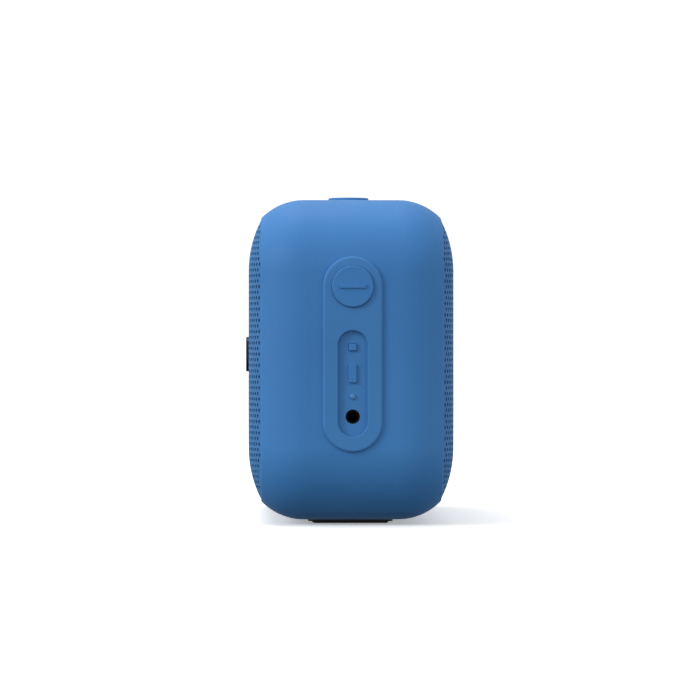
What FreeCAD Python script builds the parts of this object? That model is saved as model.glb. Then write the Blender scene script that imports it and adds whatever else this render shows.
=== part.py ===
"""Portable Bluetooth speaker: a silicone-sleeved box with a grille in front and behind.

X runs along the speaker, with +X at the end that carries the ports. -Y is the front and +Z is up.
The origin is on the table, under the middle of the foot. All sizes are in millimetres.

The sleeve is a band round the speaker's front outline. Everything inside it is placed by its
inset, the distance inwards from the sleeve's outer face, and by its distance from the plane Y = 0.
"""

import FreeCAD, Part
import math
import os
from FreeCAD import Placement, Rotation, Vector

# ---------- Driving dimensions ----------
LENGTH = 205.0  # sleeve, end to end
TOP_Z = 116.5  # top of the sleeve
FOOT_DROP = 1.6  # the foot stands this far below the sleeve
CORNER_R = 26.5  # corners of the front outline
FLAT_HALF = 16.8  # half width of the flat band round the sleeve's middle
SHOULDER_R = 21.6  # rounding from that band towards the rims
RIM_Y = 32.35  # half width of the sleeve, rim to rim
GRILLE_Y = 36.8  # half depth over the grilles
GRILLE_R = 40.0  # rounding of a grille towards its edge
GRILLE_OUTSET = 14.35  # the rounding's tangent lies this far outside the sleeve

SLEEVE_T = 2.0
FRAME_INSET = 4.6  # inner face of the core frame's wall
LEDGE_Y = 26.6  # the core frame's ledges, which carry the baffles
LEDGE_BACK_Y = 20.5  # inner side of those ledges
OPENING_INSET = 13.5  # opening in each ledge
RIM_INSET = 7.2  # inner wall of the sleeve's rims
RIM_ROUND = 0.7  # rounding of a rim's outer edge
RIM_INNER_ROUND = 0.2
GRILLE_INSET = 7.3  # outside of the grille's skirt
GRILLE_T = 0.8
MESH_T = 0.35
BAFFLE_INSET = 8.6
BAFFLE_T = 3.0
GASKET_T = 0.5

PANEL_PROUD = 1.2  # the end panels and the top panel stand this far out of the sleeve
PANEL_ROUND = 0.95
PANEL_R = 10.65
PANEL_RISE = 1.95  # an end panel's centre is this far above the sleeve's
PANEL_ARC_OFFSET = 24.0  # arc centres of an end panel's outline, above and below its centre
RECESS_R = 5.2
RECESS_TOP = 3.2  # arc centres of the port recess, from the panel's centre
RECESS_LOW = -23.8
RECESS_DEPTH = 1.6
RECESS_ROUND = 0.4

KEY_R = 7.4
KEY_PROUD = 1.0
KEY_TRAVEL = 0.5
KEY_GAP = 0.1  # round a key
KEY_ROUND = 0.5
KEY_FLANGE_R = 8.5
KEY_FLANGE_T = 0.8
KEY_PLAY_TOP = 0.05  # between a flange and the flat face above it
KEY_PLAY_END = 0.35  # more under an end panel, whose inner face is curved
KEY_STEM_R = 2.0
KEY_PITCH = 36.0  # between the keys on top
SYMBOL_H = 0.6  # an end key's symbol is raised
SYMBOL_DEPTH = 0.3  # a top key's symbol is sunk
SYMBOL_ROUND = 0.12
SWITCH_H = 3.0

FOOT_HALF_X = 75.0
FOOT_HALF_Y = 15.3
FOOT_CORNER_R = 9.0
FOOT_T = 3.0

BADGE_HALF_X = 19.0
BADGE_HALF_Z = 6.5
BADGE_T = 1.1

AUX_Z = -22.0  # heights of what stands in the port recess, from the panel's centre
LIGHT_Z = -14.9
PLUG_Z = -6.7
RESET_Z = 2.55
AUX_NOSE_R = 2.5
AUX_BORE_R = 1.8
AUX_BORE_DEPTH = 14.0

BOARD_T = 1.6
PORT_BOARD_Y = -2.6  # the port board's parts stand on this plane
PORT_BOARD_SCREWS = (-27.0, 12.0)  # heights from the panel's centre
LEFT_BOARD_POST_Y = 6.8
KEY_BOARD_HALF_X = 47.0
KEY_BOARD_HALF_Y = 10.0
MAIN_BOARD_HALF_X = 68.0
MAIN_BOARD_HALF_Y = 16.0
MAIN_BOARD_Z = 12.0  # underside of the main board
SOCKET_H = 4.0  # height of a lead's socket on the main board

DRIVER_X = 50.0
DRIVER_R = 37.0
DRIVER_FLANGE_T = 1.5
DRIVER_SCREW_R = 34.9  # the circle of its screws
CONE_R = 26.0
COIL_R = 10.3
CONE_TRAVEL = 2.0
RADIATOR_HALF_STRAIGHT = 30.0
RADIATOR_R = 35.0  # outer radius of the passive radiator's racetrack frame
RADIATOR_FLANGE_T = 1.5
RADIATOR_SKIRT_R = 31.4
RADIATOR_OPENING_R = 30.0
RADIATOR_PLATE_R = 22.0
RADIATOR_SETBACK = 1.0  # of the diaphragm's face from the baffle's
RADIATOR_TRAVEL = 3.0

CELL_R = 9.2
CELL_LENGTH = 65.0
CELL_Y = 2.2
TRAY_HALF_X = 20.0
TRAY_HALF_Z = 36.5
TRAY_Y = -8.2  # rear face of the tray's plate, in front of the cells
TRAY_T = 2.0
LEAD_R = 0.6

# ---------- Sizes that follow ----------
BODY_H = TOP_Z - FOOT_DROP
MID_Z = FOOT_DROP + BODY_H / 2
END_X = LENGTH / 2
PANEL_Z = MID_Z + PANEL_RISE
SHOULDER_Y = FLAT_HALF + SHOULDER_R
KEY_STEM_LENGTH = FRAME_INSET - SLEEVE_T + 0.4  # through the frame's wall and 0.4 past it
SWITCH_INSET = SLEEVE_T + KEY_STEM_LENGTH + KEY_TRAVEL + 0.1  # top of a switch under a key
BAFFLE_Y = LEDGE_Y + GASKET_T  # inner face of a baffle
BAFFLE_FACE_Y = BAFFLE_Y + BAFFLE_T
WALL_X = END_X - FRAME_INSET  # inner face of the core frame's end walls
KEY_END_Z = PANEL_Z + PANEL_ARC_OFFSET
RECESS_FLOOR_X = END_X + PANEL_PROUD - RECESS_DEPTH
SWITCH_FACE_X = END_X - SWITCH_INSET
LEFT_BOARD_X = SWITCH_FACE_X - SWITCH_H
BOARD_EDGE_X = WALL_X - 2.6
BOARD_SCREW_X = BOARD_EDGE_X - 16.0
KEY_BOARD_Z = TOP_Z - SWITCH_INSET - SWITCH_H
SOCKET_TOP_Z = MAIN_BOARD_Z + BOARD_T + SOCKET_H
RADIATOR_Y = BAFFLE_FACE_Y - RADIATOR_SETBACK
FAR = 150.0  # past every face of the speaker

UP = Vector(0, 0, 1)
X_AXIS = Vector(1, 0, 0)
Y_AXIS = Vector(0, 1, 0)


# ---------- Outlines and blocks ----------
def rounded_face(half_a, half_b, radius, place):
    """A rounded rectangle, or a stadium. place turns (a, b) into a point in space."""
    arcs = []
    for sign_a, sign_b, start in ((1, 1, 0), (-1, 1, 90), (-1, -1, 180), (1, -1, 270)):
        centre_a = sign_a * (half_a - radius)
        centre_b = sign_b * (half_b - radius)
        turns = [math.radians(start + turn) for turn in (0, 45, 90)]
        arcs.append([place(centre_a + radius * math.cos(t), centre_b + radius * math.sin(t)) for t in turns])
    edges = []
    for arc, following in zip(arcs, arcs[1:] + arcs[:1]):
        edges.append(Part.Arc(*arc).toShape())
        if arc[2].distanceToPoint(following[0]) > 1e-6:
            edges.append(Part.makeLine(arc[2], following[0]))
    return Part.Face(Part.Wire(edges))


def front_block(inset, y_from, y_to):
    """The front outline, moved inwards by inset and extruded from y_from to y_to."""
    face = rounded_face(
        LENGTH / 2 - inset, BODY_H / 2 - inset, CORNER_R - inset, lambda a, b: Vector(a, y_from, MID_Z + b)
    )
    return face.extrude(Vector(0, y_to - y_from, 0))


def slab(y_from, y_to):
    return Part.makeBox(2 * FAR, y_to - y_from, 2 * FAR, Vector(-FAR, y_from, MID_Z - FAR))


def pillow(inset):
    """The sleeve's outer form, moved inwards by inset, with its front and back edges rounded."""
    half_y = SHOULDER_Y - inset
    block = front_block(inset, -half_y, half_y)
    edges = [e for e in block.Edges if abs(abs(e.CenterOfMass.y) - half_y) < 1e-6]
    return block.makeFillet(SHOULDER_R - inset, edges)


def grille_form(side, inset):
    """One grille's outer form, moved inwards by inset. Only its outer edge is rounded."""
    face_y = side * (GRILLE_Y - inset)
    block = front_block(inset - GRILLE_OUTSET, *sorted((face_y, -side * GRILLE_Y)))
    edges = [e for e in block.Edges if abs(e.CenterOfMass.y - face_y) < 1e-6]
    return block.makeFillet(GRILLE_R - inset, edges)


def end_stadium(side, x_from, x_to, radius, low, high):
    """A stadium seen along X, between two distances from the middle; low and high are its arc centres."""
    middle, half = PANEL_Z + (low + high) / 2, (high - low) / 2 + radius
    face = rounded_face(radius, half, radius, lambda a, b: Vector(side * x_from, a, middle + b))
    return face.extrude(Vector(side * (x_to - x_from), 0, 0))


def panel_stadium(side, x_from, x_to):
    return end_stadium(side, x_from, x_to, PANEL_R, -PANEL_ARC_OFFSET, PANEL_ARC_OFFSET)


def top_stadium():
    """The top panel's outline seen from above, from inside the sleeve to well above it."""
    half_x = KEY_PITCH + PANEL_R
    face = rounded_face(half_x, PANEL_R, PANEL_R, lambda a, b: Vector(a, b, TOP_Z - 8))
    return face.extrude(Vector(0, 0, 16))


def racetrack(radius, y_from, y_to):
    """A lying stadium round the passive radiator's axis."""
    face = rounded_face(
        RADIATOR_HALF_STRAIGHT + radius, radius, radius, lambda a, b: Vector(a, y_from, MID_Z + b)
    )
    return face.extrude(Vector(0, y_to - y_from, 0))


def rod(radius, start, end):
    along = end - start
    return Part.makeCylinder(radius, along.Length, start, along)


def spun(points, base=Vector(0, 0, 0), axis=UP):
    """A solid of revolution from (radius, height) points. Height runs along axis, from base."""
    wire = Part.makePolygon([Vector(r, 0, h) for r, h in points + points[:1]])
    solid = Part.Face(wire).revolve(Vector(0, 0, 0), UP, 360)
    solid.Placement = Placement(base, Rotation(UP, axis))
    return solid


def placed(shape, base, rotation):
    moved = shape.copy()
    moved.Placement = Placement(base, rotation).multiply(moved.Placement)
    return moved


def mirrored_x(shape):
    return shape.mirror(Vector(0, 0, 0), X_AXIS)


# ---------- Keys ----------
# A key is drawn with its top face at height KEY_PROUD and its travel along -Z, then placed.
def symbol_bar(half_a, half_b):
    return Part.makeBox(2 * half_a, 2 * half_b, SYMBOL_H, Vector(-half_a, -half_b, KEY_PROUD))


def softened(symbol):
    """The symbol with its upper edges rounded."""
    top = [e for e in symbol.Edges if abs(e.BoundBox.ZMin - KEY_PROUD - SYMBOL_H) < 1e-6]
    return symbol.makeFillet(SYMBOL_ROUND, top)


def symbol_ring(radius, width):
    outer = Part.makeCylinder(radius, SYMBOL_H, Vector(0, 0, KEY_PROUD))
    return outer.cut(Part.makeCylinder(radius - width, SYMBOL_H, Vector(0, 0, KEY_PROUD)))


def minus_symbol():
    return symbol_bar(4.7, 0.6)


def plus_symbol():
    return symbol_bar(4.7, 0.6).fuse(symbol_bar(0.6, 4.7)).removeSplitter()


def power_symbol():
    """An open ring with a bar in its gap."""
    gap = Part.makeBox(2.4, 5.0, SYMBOL_H, Vector(-1.2, 0, KEY_PROUD))
    bar = Part.makeBox(0.9, 3.4, SYMBOL_H, Vector(-0.45, 0.4, KEY_PROUD))
    return Part.makeCompound([symbol_ring(3.3, 0.9).cut(gap), bar])


def play_symbol():
    """A triangle and two bars."""
    corners = [Vector(-3.6, -2.5, KEY_PROUD), Vector(0.2, 0, KEY_PROUD), Vector(-3.6, 2.5, KEY_PROUD)]
    triangle = Part.Face(Part.makePolygon(corners + corners[:1])).extrude(Vector(0, 0, SYMBOL_H))
    bars = [Part.makeBox(0.9, 5.0, SYMBOL_H, Vector(x, -2.5, KEY_PROUD)) for x in (1.1, 2.9)]
    return Part.makeCompound([triangle] + bars)


def pairing_symbol():
    """A dot with a ring round it."""
    dot = Part.makeCylinder(1.1, SYMBOL_H, Vector(0, 0, KEY_PROUD))
    return Part.makeCompound([symbol_ring(3.3, 0.9), dot])


def key_blank(play):
    """A key without its symbol. play is what its flange leaves free below the panel round it."""
    flange_top = -KEY_DEPTH - play
    cap = Part.makeCylinder(KEY_R, KEY_PROUD - flange_top, Vector(0, 0, flange_top))
    rim = [e for e in cap.Edges if abs(e.CenterOfMass.z - KEY_PROUD) < 1e-6]
    cap = cap.makeFillet(KEY_ROUND, rim)
    flange = Part.makeCylinder(KEY_FLANGE_R, KEY_FLANGE_T, Vector(0, 0, flange_top - KEY_FLANGE_T))
    stem = Part.makeCylinder(KEY_STEM_R, KEY_STEM_LENGTH, Vector(0, 0, -KEY_DEPTH - KEY_STEM_LENGTH))
    return cap.fuse([flange, stem])


def top_key(symbol):
    sunk = symbol.translated(Vector(0, 0, -SYMBOL_DEPTH))
    return key_blank(KEY_PLAY_TOP).cut(sunk).removeSplitter()


def end_key(symbol):
    raised = [softened(solid) for solid in symbol.Solids]
    return key_blank(KEY_PLAY_END).fuse(raised).removeSplitter()


def key_well(play):
    """What a key needs cut out of its panel and of the frame's wall below it."""
    hole = Part.makeCylinder(KEY_R + KEY_GAP, KEY_DEPTH + 6, Vector(0, 0, -KEY_DEPTH - 1))
    pocket_depth = KEY_FLANGE_T + play + KEY_TRAVEL + 0.15
    pocket = Part.makeCylinder(KEY_FLANGE_R + 0.2, pocket_depth, Vector(0, 0, -KEY_DEPTH - pocket_depth))
    passage = Part.makeCylinder(KEY_STEM_R + 0.3, 8.0, Vector(0, 0, -KEY_DEPTH - 8.0))
    return hole, pocket.fuse(passage)


KEY_TOP_XS = (-KEY_PITCH, 0, KEY_PITCH)
KEY_TOP_PLACES = [Placement(Vector(x, 0, TOP_Z + PANEL_PROUD), Rotation()) for x in KEY_TOP_XS]
KEY_RIGHT_PLACE = Placement(
    Vector(END_X + PANEL_PROUD, 0, KEY_END_Z), Rotation(Y_AXIS, UP, X_AXIS, "ZXY")
)
KEY_LEFT_PLACE = Placement(
    Vector(-END_X - PANEL_PROUD, 0, KEY_END_Z), Rotation(Vector(0, -1, 0), UP, Vector(-1, 0, 0), "ZXY")
)
KEY_DEPTH = SLEEVE_T + PANEL_PROUD


def at(shape, placement):
    moved = shape.copy()
    moved.Placement = placement.multiply(moved.Placement)
    return moved


def key_nodes():
    top_symbols = (power_symbol(), play_symbol(), pairing_symbol())
    names = ("key_power", "key_play", "key_pairing")
    nodes = {}
    for name, symbol, place in zip(names, top_symbols, KEY_TOP_PLACES):
        nodes[name] = at(top_key(symbol), place)
    nodes["key_volume_down"] = at(end_key(minus_symbol()), KEY_RIGHT_PLACE)
    nodes["key_volume_up"] = at(end_key(plus_symbol()), KEY_LEFT_PLACE)
    return nodes


def key_cuts():
    """(holes in the top panel, holes in the end panels, pockets in the core frame)"""
    top_hole, top_pocket = key_well(KEY_PLAY_TOP)
    end_hole, end_pocket = key_well(KEY_PLAY_END)
    ends = (KEY_RIGHT_PLACE, KEY_LEFT_PLACE)
    top = [at(top_hole, p) for p in KEY_TOP_PLACES]
    panels = [at(end_hole, p) for p in ends]
    frame = [at(top_pocket, p) for p in KEY_TOP_PLACES] + [at(end_pocket, p) for p in ends]
    return top, panels, frame


# ---------- Port recess ----------
def port_box(z, half_y, half_z, x_from, x_to):
    return Part.makeBox(
        x_to - x_from, 2 * half_y, 2 * half_z, Vector(x_from, -half_y, PANEL_Z + z - half_z)
    )


def port_rod(z, radius, x_from, x_to):
    return rod(radius, Vector(x_from, 0, PANEL_Z + z), Vector(x_to, 0, PANEL_Z + z))


def port_cuts():
    """Openings through the panel's floor and the frame's wall behind it."""
    inside = WALL_X - 1
    return [
        port_box(RESET_Z, 1.5, 1.4, inside, RECESS_FLOOR_X + 1),
        port_box(PLUG_Z, 1.2, 3.0, inside, RECESS_FLOOR_X + 1),
        port_rod(LIGHT_Z, 0.8, inside, RECESS_FLOOR_X + 1),
        port_rod(AUX_Z, AUX_NOSE_R + 0.05, inside, RECESS_FLOOR_X + 1),
    ]


def reset_button():
    """A small square nub on a flange that stays behind the frame's wall."""
    nub = port_box(RESET_Z, 1.4, 1.3, WALL_X - 0.3, RECESS_FLOOR_X + 0.9)
    corners = [e for e in nub.Edges if e.CenterOfMass.x > RECESS_FLOOR_X - 1.5]
    nub = nub.makeFillet(0.4, corners)
    flange = port_box(RESET_Z, 2.4, 2.2, WALL_X - 1.0, WALL_X - 0.05)
    return nub.fuse(flange).removeSplitter()


def usb_port_plug():
    """A rubber plug: its head covers the socket's mouth and its tongue goes into it."""
    head = port_box(PLUG_Z, 1.45, 3.35, RECESS_FLOOR_X, RECESS_FLOOR_X + 0.9)
    corners = [e for e in head.Edges if e.CenterOfMass.x > RECESS_FLOOR_X + 1e-3]
    head = head.makeFillet(0.4, corners)
    tongue = port_box(PLUG_Z, 0.7, 2.7, RECESS_FLOOR_X - 4.5, RECESS_FLOOR_X)
    return head.fuse(tongue).removeSplitter()


def status_light_pipe():
    """A clear rod with a domed end."""
    pipe = port_rod(LIGHT_Z, 0.75, WALL_X - 1.0, RECESS_FLOOR_X)
    head = port_rod(LIGHT_Z, 1.05, RECESS_FLOOR_X, RECESS_FLOOR_X + 0.7)
    front = [e for e in head.Edges if abs(e.CenterOfMass.x - RECESS_FLOOR_X - 0.7) < 1e-6]
    return pipe.fuse(head.makeFillet(0.6, front)).removeSplitter()


def aux_socket():
    """A 3.5 mm jack socket: a nose through the wall, and a body on the port board."""
    face = RECESS_FLOOR_X - 0.3
    body_x = WALL_X - 0.5
    nose = port_rod(AUX_Z, AUX_NOSE_R, body_x, face)
    body = port_box(AUX_Z, -PORT_BOARD_Y, 3.0, face - AUX_BORE_DEPTH - 1.5, body_x)
    return nose.fuse(body).cut(port_rod(AUX_Z, AUX_BORE_R, face - AUX_BORE_DEPTH, face)).removeSplitter()


def usb_socket():
    """A micro-B charging socket: a steel shell, a tongue in it and two feet."""
    mouth, back = WALL_X - 0.4, WALL_X - 6.0
    shell = port_box(PLUG_Z, 1.3, 3.75, back, mouth)
    hollow = port_box(PLUG_Z, 1.0, 3.45, back + 0.8, mouth)
    tongue = port_box(PLUG_Z, 0.25, 2.4, back + 0.8, back + 1.3)
    feet = [
        Part.makeBox(2.0, -1.3 - PORT_BOARD_Y, 0.8, Vector(back + 1, PORT_BOARD_Y, PANEL_Z + PLUG_Z + z))
        for z in (-3.6, 2.8)
    ]
    return shell.cut(hollow).fuse([tongue] + feet).removeSplitter()


def port_board():
    """The upright board at the port end, with its two screw holes."""
    board = Part.makeBox(
        20.0, BOARD_T, 64.0, Vector(BOARD_EDGE_X - 20.0, PORT_BOARD_Y - BOARD_T, PANEL_Z - 32.0)
    )
    for z in PORT_BOARD_SCREWS:
        back = Vector(BOARD_SCREW_X, PORT_BOARD_Y - BOARD_T, PANEL_Z + z)
        board = board.cut(rod(1.1, back, back + Vector(0, BOARD_T, 0)))
    return board


def tact_switch(base, rotation):
    """A body with its round plunger, drawn upwards from its solder side."""
    side, plunger_h = 4.5, 0.8
    body = Part.makeBox(side, side, SWITCH_H - plunger_h, Vector(-side / 2, -side / 2, 0))
    plunger = Part.makeCylinder(1.2, plunger_h, Vector(0, 0, SWITCH_H - plunger_h))
    return placed(body.fuse(plunger), base, rotation)


FACE_RIGHT = Rotation(UP, X_AXIS)
FACE_LEFT = Rotation(UP, Vector(-1, 0, 0))


def port_board_parts():
    """Edge-mounted switches for the end key and the reset button, and the status lamp."""
    key_switch = tact_switch(Vector(SWITCH_FACE_X - SWITCH_H, 0, KEY_END_Z), FACE_RIGHT)
    reset_face = WALL_X - 1.0 - KEY_TRAVEL - 0.1
    reset_switch = tact_switch(Vector(reset_face - SWITCH_H, 0, PANEL_Z + RESET_Z), FACE_RIGHT)
    lamp = port_box(LIGHT_Z, -PORT_BOARD_Y, 0.8, BOARD_EDGE_X - 1.2, WALL_X - 1.1)
    return Part.makeCompound([key_switch, reset_switch, lamp])


def left_key_board():
    """A small board across the left end, on two posts, with the switch of the volume-up key."""
    switch = tact_switch(Vector(-LEFT_BOARD_X, 0, KEY_END_Z), FACE_LEFT)
    board = Part.makeBox(BOARD_T, 18.0, 12.0, Vector(-LEFT_BOARD_X, -9.0, KEY_END_Z - 6.0))
    return Part.makeCompound([switch, board])


def top_key_board():
    board = Part.makeBox(
        2 * KEY_BOARD_HALF_X,
        2 * KEY_BOARD_HALF_Y,
        BOARD_T,
        Vector(-KEY_BOARD_HALF_X, -KEY_BOARD_HALF_Y, KEY_BOARD_Z - BOARD_T),
    )
    for x, y in key_board_screws():
        board = board.cut(rod(1.1, Vector(x, y, KEY_BOARD_Z - BOARD_T), Vector(x, y, KEY_BOARD_Z)))
    return board


def key_board_screws():
    return [(sx * (KEY_BOARD_HALF_X - 3), sy * (KEY_BOARD_HALF_Y - 3)) for sx in (-1, 1) for sy in (-1, 1)]


def top_key_switches():
    places = [Vector(x, 0, KEY_BOARD_Z) for x in KEY_TOP_XS]
    return Part.makeCompound([tact_switch(p, Rotation()) for p in places])


# ---------- Casing ----------
def foot_block(grow, z_from, z_to):
    half_x, half_y = FOOT_HALF_X + grow, FOOT_HALF_Y + grow
    face = rounded_face(half_x, half_y, FOOT_CORNER_R + grow, lambda a, b: Vector(a, b, z_from))
    return face.extrude(Vector(0, 0, z_to - z_from))


def base_foot():
    """The rubber foot, let into the sleeve's underside."""
    foot = foot_block(0, 0, FOOT_T)
    edges = [e for e in foot.Edges if abs(e.CenterOfMass.z) < 1e-6]
    return foot.makeFillet(0.5, edges)


def rim_edges(form):
    return [e for e in form.Edges if abs(abs(e.CenterOfMass.y) - RIM_Y) < 1e-6]


def edge_inset(edge):
    """How far an edge's middle lies inside the sleeve's front outline."""
    point = edge.valueAt((edge.FirstParameter + edge.LastParameter) / 2)
    past_x = abs(point.x) - (LENGTH / 2 - CORNER_R)
    past_z = abs(point.z - MID_Z) - (BODY_H / 2 - CORNER_R)
    if past_x > 0 and past_z > 0:
        return CORNER_R - math.hypot(past_x, past_z)
    return CORNER_R - max(past_x, past_z)


def sleeve():
    """The silicone sleeve: thin round the frame, with a thick rim that hides each grille's edge."""
    form = pillow(0).common(slab(-RIM_Y, RIM_Y))
    form = form.cut(pillow(SLEEVE_T).common(slab(-LEDGE_Y, LEDGE_Y)))
    form = form.cut(front_block(RIM_INSET, -FAR, FAR))
    middle = RIM_INSET - 0.3
    form = form.makeFillet(RIM_ROUND, [e for e in rim_edges(form) if edge_inset(e) < middle])
    form = form.makeFillet(RIM_INNER_ROUND, [e for e in rim_edges(form) if edge_inset(e) > middle])
    for side in (-1, 1):
        form = form.cut(panel_stadium(side, END_X - 8, END_X + 8))
    form = form.cut(top_stadium())
    return form.cut(foot_block(0.1, 0, FOOT_T))


def recess_edges(panel):
    """The outline of the recess, where it meets the panel's outer face."""
    face_x, top = END_X + PANEL_PROUD, PANEL_Z + RECESS_TOP + RECESS_R + 0.01
    edges = []
    for edge in panel.Edges:
        box = edge.BoundBox
        if box.XMin > face_x - 1e-6 and box.YLength < 2 * RECESS_R + 0.01 and box.ZMax < top:
            if max(abs(box.YMin), abs(box.YMax)) < RECESS_R + 0.01:
                edges.append(edge)
    return edges


def end_panel(side, key_hole, cuts=()):
    """A stadium-shaped panel that follows the sleeve's face and stands proud of it."""
    panel = pillow(-PANEL_PROUD).common(panel_stadium(side, END_X - 12, END_X + 8))
    panel = panel.cut(pillow(SLEEVE_T))
    outer = [e for e in panel.Edges if side * e.CenterOfMass.x > END_X - 0.6]
    panel = panel.makeFillet(PANEL_ROUND, outer)
    panel = panel.cut(key_hole)
    if cuts:
        panel = panel.cut(
            end_stadium(side, RECESS_FLOOR_X, END_X + 8, RECESS_R, RECESS_LOW, RECESS_TOP)
        )
        panel = panel.makeFillet(RECESS_ROUND, recess_edges(panel))
    for opening in cuts:
        panel = panel.cut(opening)
    return panel.removeSplitter()


def top_panel(key_holes):
    """The panel along the top, with the three keys in it."""
    panel = pillow(-PANEL_PROUD).common(top_stadium()).cut(pillow(SLEEVE_T))
    panel = panel.makeFillet(PANEL_ROUND, [e for e in panel.Edges if e.CenterOfMass.z > TOP_Z + 0.6])
    for hole in key_holes:
        panel = panel.cut(hole)
    return panel.removeSplitter()


def baffle_screw_places():
    """(x, z) of the screws that hold a baffle to its ledge."""
    inset = 11.2
    half_x, half_z = LENGTH / 2 - inset, BODY_H / 2 - inset
    reach = (CORNER_R - inset) * (1 - math.sqrt(0.5))
    places = [(sx * (half_x - reach), sz * (half_z - reach)) for sx in (-1, 1) for sz in (-1, 1)]
    places += [(x, sz * half_z) for x in (-20.0, 20.0) for sz in (-1, 1)]
    return [(x, MID_Z + z) for x, z in places]


PILLAR_PLACES = [(sx * 62.0, sy * 11.0) for sx in (-1, 1) for sy in (-1, 1)]


def core_frame(pockets, openings):
    """The rigid ring that the sleeve is stretched over."""
    frame = pillow(SLEEVE_T).common(slab(-LEDGE_Y, LEDGE_Y))
    frame = frame.cut(pillow(FRAME_INSET).common(slab(-LEDGE_BACK_Y, LEDGE_BACK_Y)))
    frame = frame.cut(front_block(OPENING_INSET, -FAR, FAR))
    floor_z = FOOT_DROP + FRAME_INSET - 1
    pillars = [rod(3.0, Vector(x, y, floor_z), Vector(x, y, MAIN_BOARD_Z)) for x, y in PILLAR_PLACES]
    roof_z = TOP_Z - FRAME_INSET + 1
    pillars += [rod(2.4, Vector(x, y, KEY_BOARD_Z), Vector(x, y, roof_z)) for x, y in key_board_screws()]
    wall_x = WALL_X + 1
    for y in (-LEFT_BOARD_POST_Y, LEFT_BOARD_POST_Y):
        pillars.append(rod(1.6, Vector(-wall_x, y, KEY_END_Z), Vector(-LEFT_BOARD_X, y, KEY_END_Z)))
    for z in PORT_BOARD_SCREWS:
        corner = Vector(BOARD_SCREW_X - 3.0, PORT_BOARD_Y - BOARD_T - 6.0, PANEL_Z + z - 3.0)
        pillars.append(Part.makeBox(wall_x - corner.x, 6.0, 6.0, corner))
    frame = frame.fuse(pillars)
    for side in (-1, 1):
        for x, z in baffle_screw_places():
            start = Vector(x, side * (LEDGE_Y - 6.0), z)
            frame = frame.cut(rod(1.25, start, Vector(x, side * LEDGE_Y, z)))
    for cutter in pockets + openings + screw_bores():
        frame = frame.cut(cutter)
    return frame.removeSplitter()


def screw_bores():
    """Pilot bores for the screws of the three boards."""
    bores = []
    for x, y in PILLAR_PLACES:
        bores.append(rod(1.05, Vector(x, y, MAIN_BOARD_Z - 5.5), Vector(x, y, MAIN_BOARD_Z)))
    for x, y in key_board_screws():
        bores.append(rod(1.05, Vector(x, y, KEY_BOARD_Z), Vector(x, y, KEY_BOARD_Z + 3.2)))
    for z in PORT_BOARD_SCREWS:
        mouth = Vector(BOARD_SCREW_X, PORT_BOARD_Y - BOARD_T, PANEL_Z + z)
        bores.append(rod(1.05, mouth - Vector(0, 4.5, 0), mouth))
    return bores


def side_of(side, low, high):
    """Y range on the front (-1) or rear (1) side, lowest first."""
    return (low, high) if side > 0 else (-high, -low)


def gasket(side):
    y_from, y_to = side_of(side, LEDGE_Y, BAFFLE_Y)
    ring = front_block(BAFFLE_INSET, y_from, y_to).cut(front_block(OPENING_INSET, -FAR, FAR))
    for x, z in baffle_screw_places():
        ring = ring.cut(rod(1.5, Vector(x, -FAR, z), Vector(x, FAR, z)))
    return ring


def baffle(side, cutters):
    y_from, y_to = side_of(side, BAFFLE_Y, BAFFLE_FACE_Y)
    plate = front_block(BAFFLE_INSET, y_from, y_to)
    for x, z in baffle_screw_places():
        plate = plate.cut(rod(1.5, Vector(x, side * 10, z), Vector(x, side * FAR, z)))
    for cutter in cutters:
        plate = plate.cut(cutter)
    return plate


def grille(side):
    """A pressed shell with a skirt that stands on the frame's ledge."""
    outer = grille_form(side, 0).common(front_block(GRILLE_INSET, -FAR, FAR))
    inner = grille_form(side, GRILLE_T).common(front_block(GRILLE_INSET + GRILLE_T, -FAR, FAR))
    shell = outer.cut(inner)
    return shell.common(slab(*side_of(side, LEDGE_Y + 0.1, FAR)))


def acoustic_mesh(side):
    """The cloth behind a grille, up against its inner face."""
    outer = grille_form(side, GRILLE_T).common(front_block(GRILLE_INSET + GRILLE_T, -FAR, FAR))
    cloth = outer.cut(grille_form(side, GRILLE_T + MESH_T))
    return cloth.common(slab(*side_of(side, LEDGE_Y + 4.5, FAR)))


def badge():
    """A plain pill-shaped plate on the front grille, with two studs through it."""
    face = rounded_face(BADGE_HALF_X, BADGE_HALF_Z, 5.0, lambda a, b: Vector(a, -GRILLE_Y, PANEL_Z + b))
    plate = face.extrude(Vector(0, -BADGE_T, 0))
    front = [e for e in plate.Edges if abs(e.CenterOfMass.y + GRILLE_Y + BADGE_T) < 1e-6]
    return plate.makeFillet(0.4, front).fuse(badge_studs(0.8)).removeSplitter()


def badge_studs(radius):
    starts = [Vector(x, -GRILLE_Y, PANEL_Z) for x in (-11.0, 11.0)]
    return [rod(radius, start, start + Vector(0, 2.5, 0)) for start in starts]


# ---------- Loudspeaker drivers ----------
# A driver is drawn along its own axis: height 0 is the baffle's face and the height grows inwards.
def driver_basket():
    """A pressed frame with six windows."""
    flange = [(31.0, 0), (DRIVER_R, 0), (DRIVER_R, DRIVER_FLANGE_T), (33.0, DRIVER_FLANGE_T)]
    bowl = [(26.5, 13.5), (13.0, 13.5), (13.0, 12.0), (25.4, 12.0), (31.0, 1.8)]
    basket = spun(flange + bowl)
    window = Part.makeBox(14.0, 9.0, 7.0, Vector(22.0, -4.5, 3.2))
    for k in range(6):
        turned = placed(window, Vector(0, 0, 0), Rotation(UP, 30 + 60 * k))
        basket = basket.cut(turned)
    for k in range(4):
        angle = math.radians(45 + 90 * k)
        hole = Vector(DRIVER_SCREW_R * math.cos(angle), DRIVER_SCREW_R * math.sin(angle), 0)
        basket = basket.cut(rod(1.1, hole, hole + Vector(0, 0, DRIVER_FLANGE_T)))
    return basket


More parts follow.
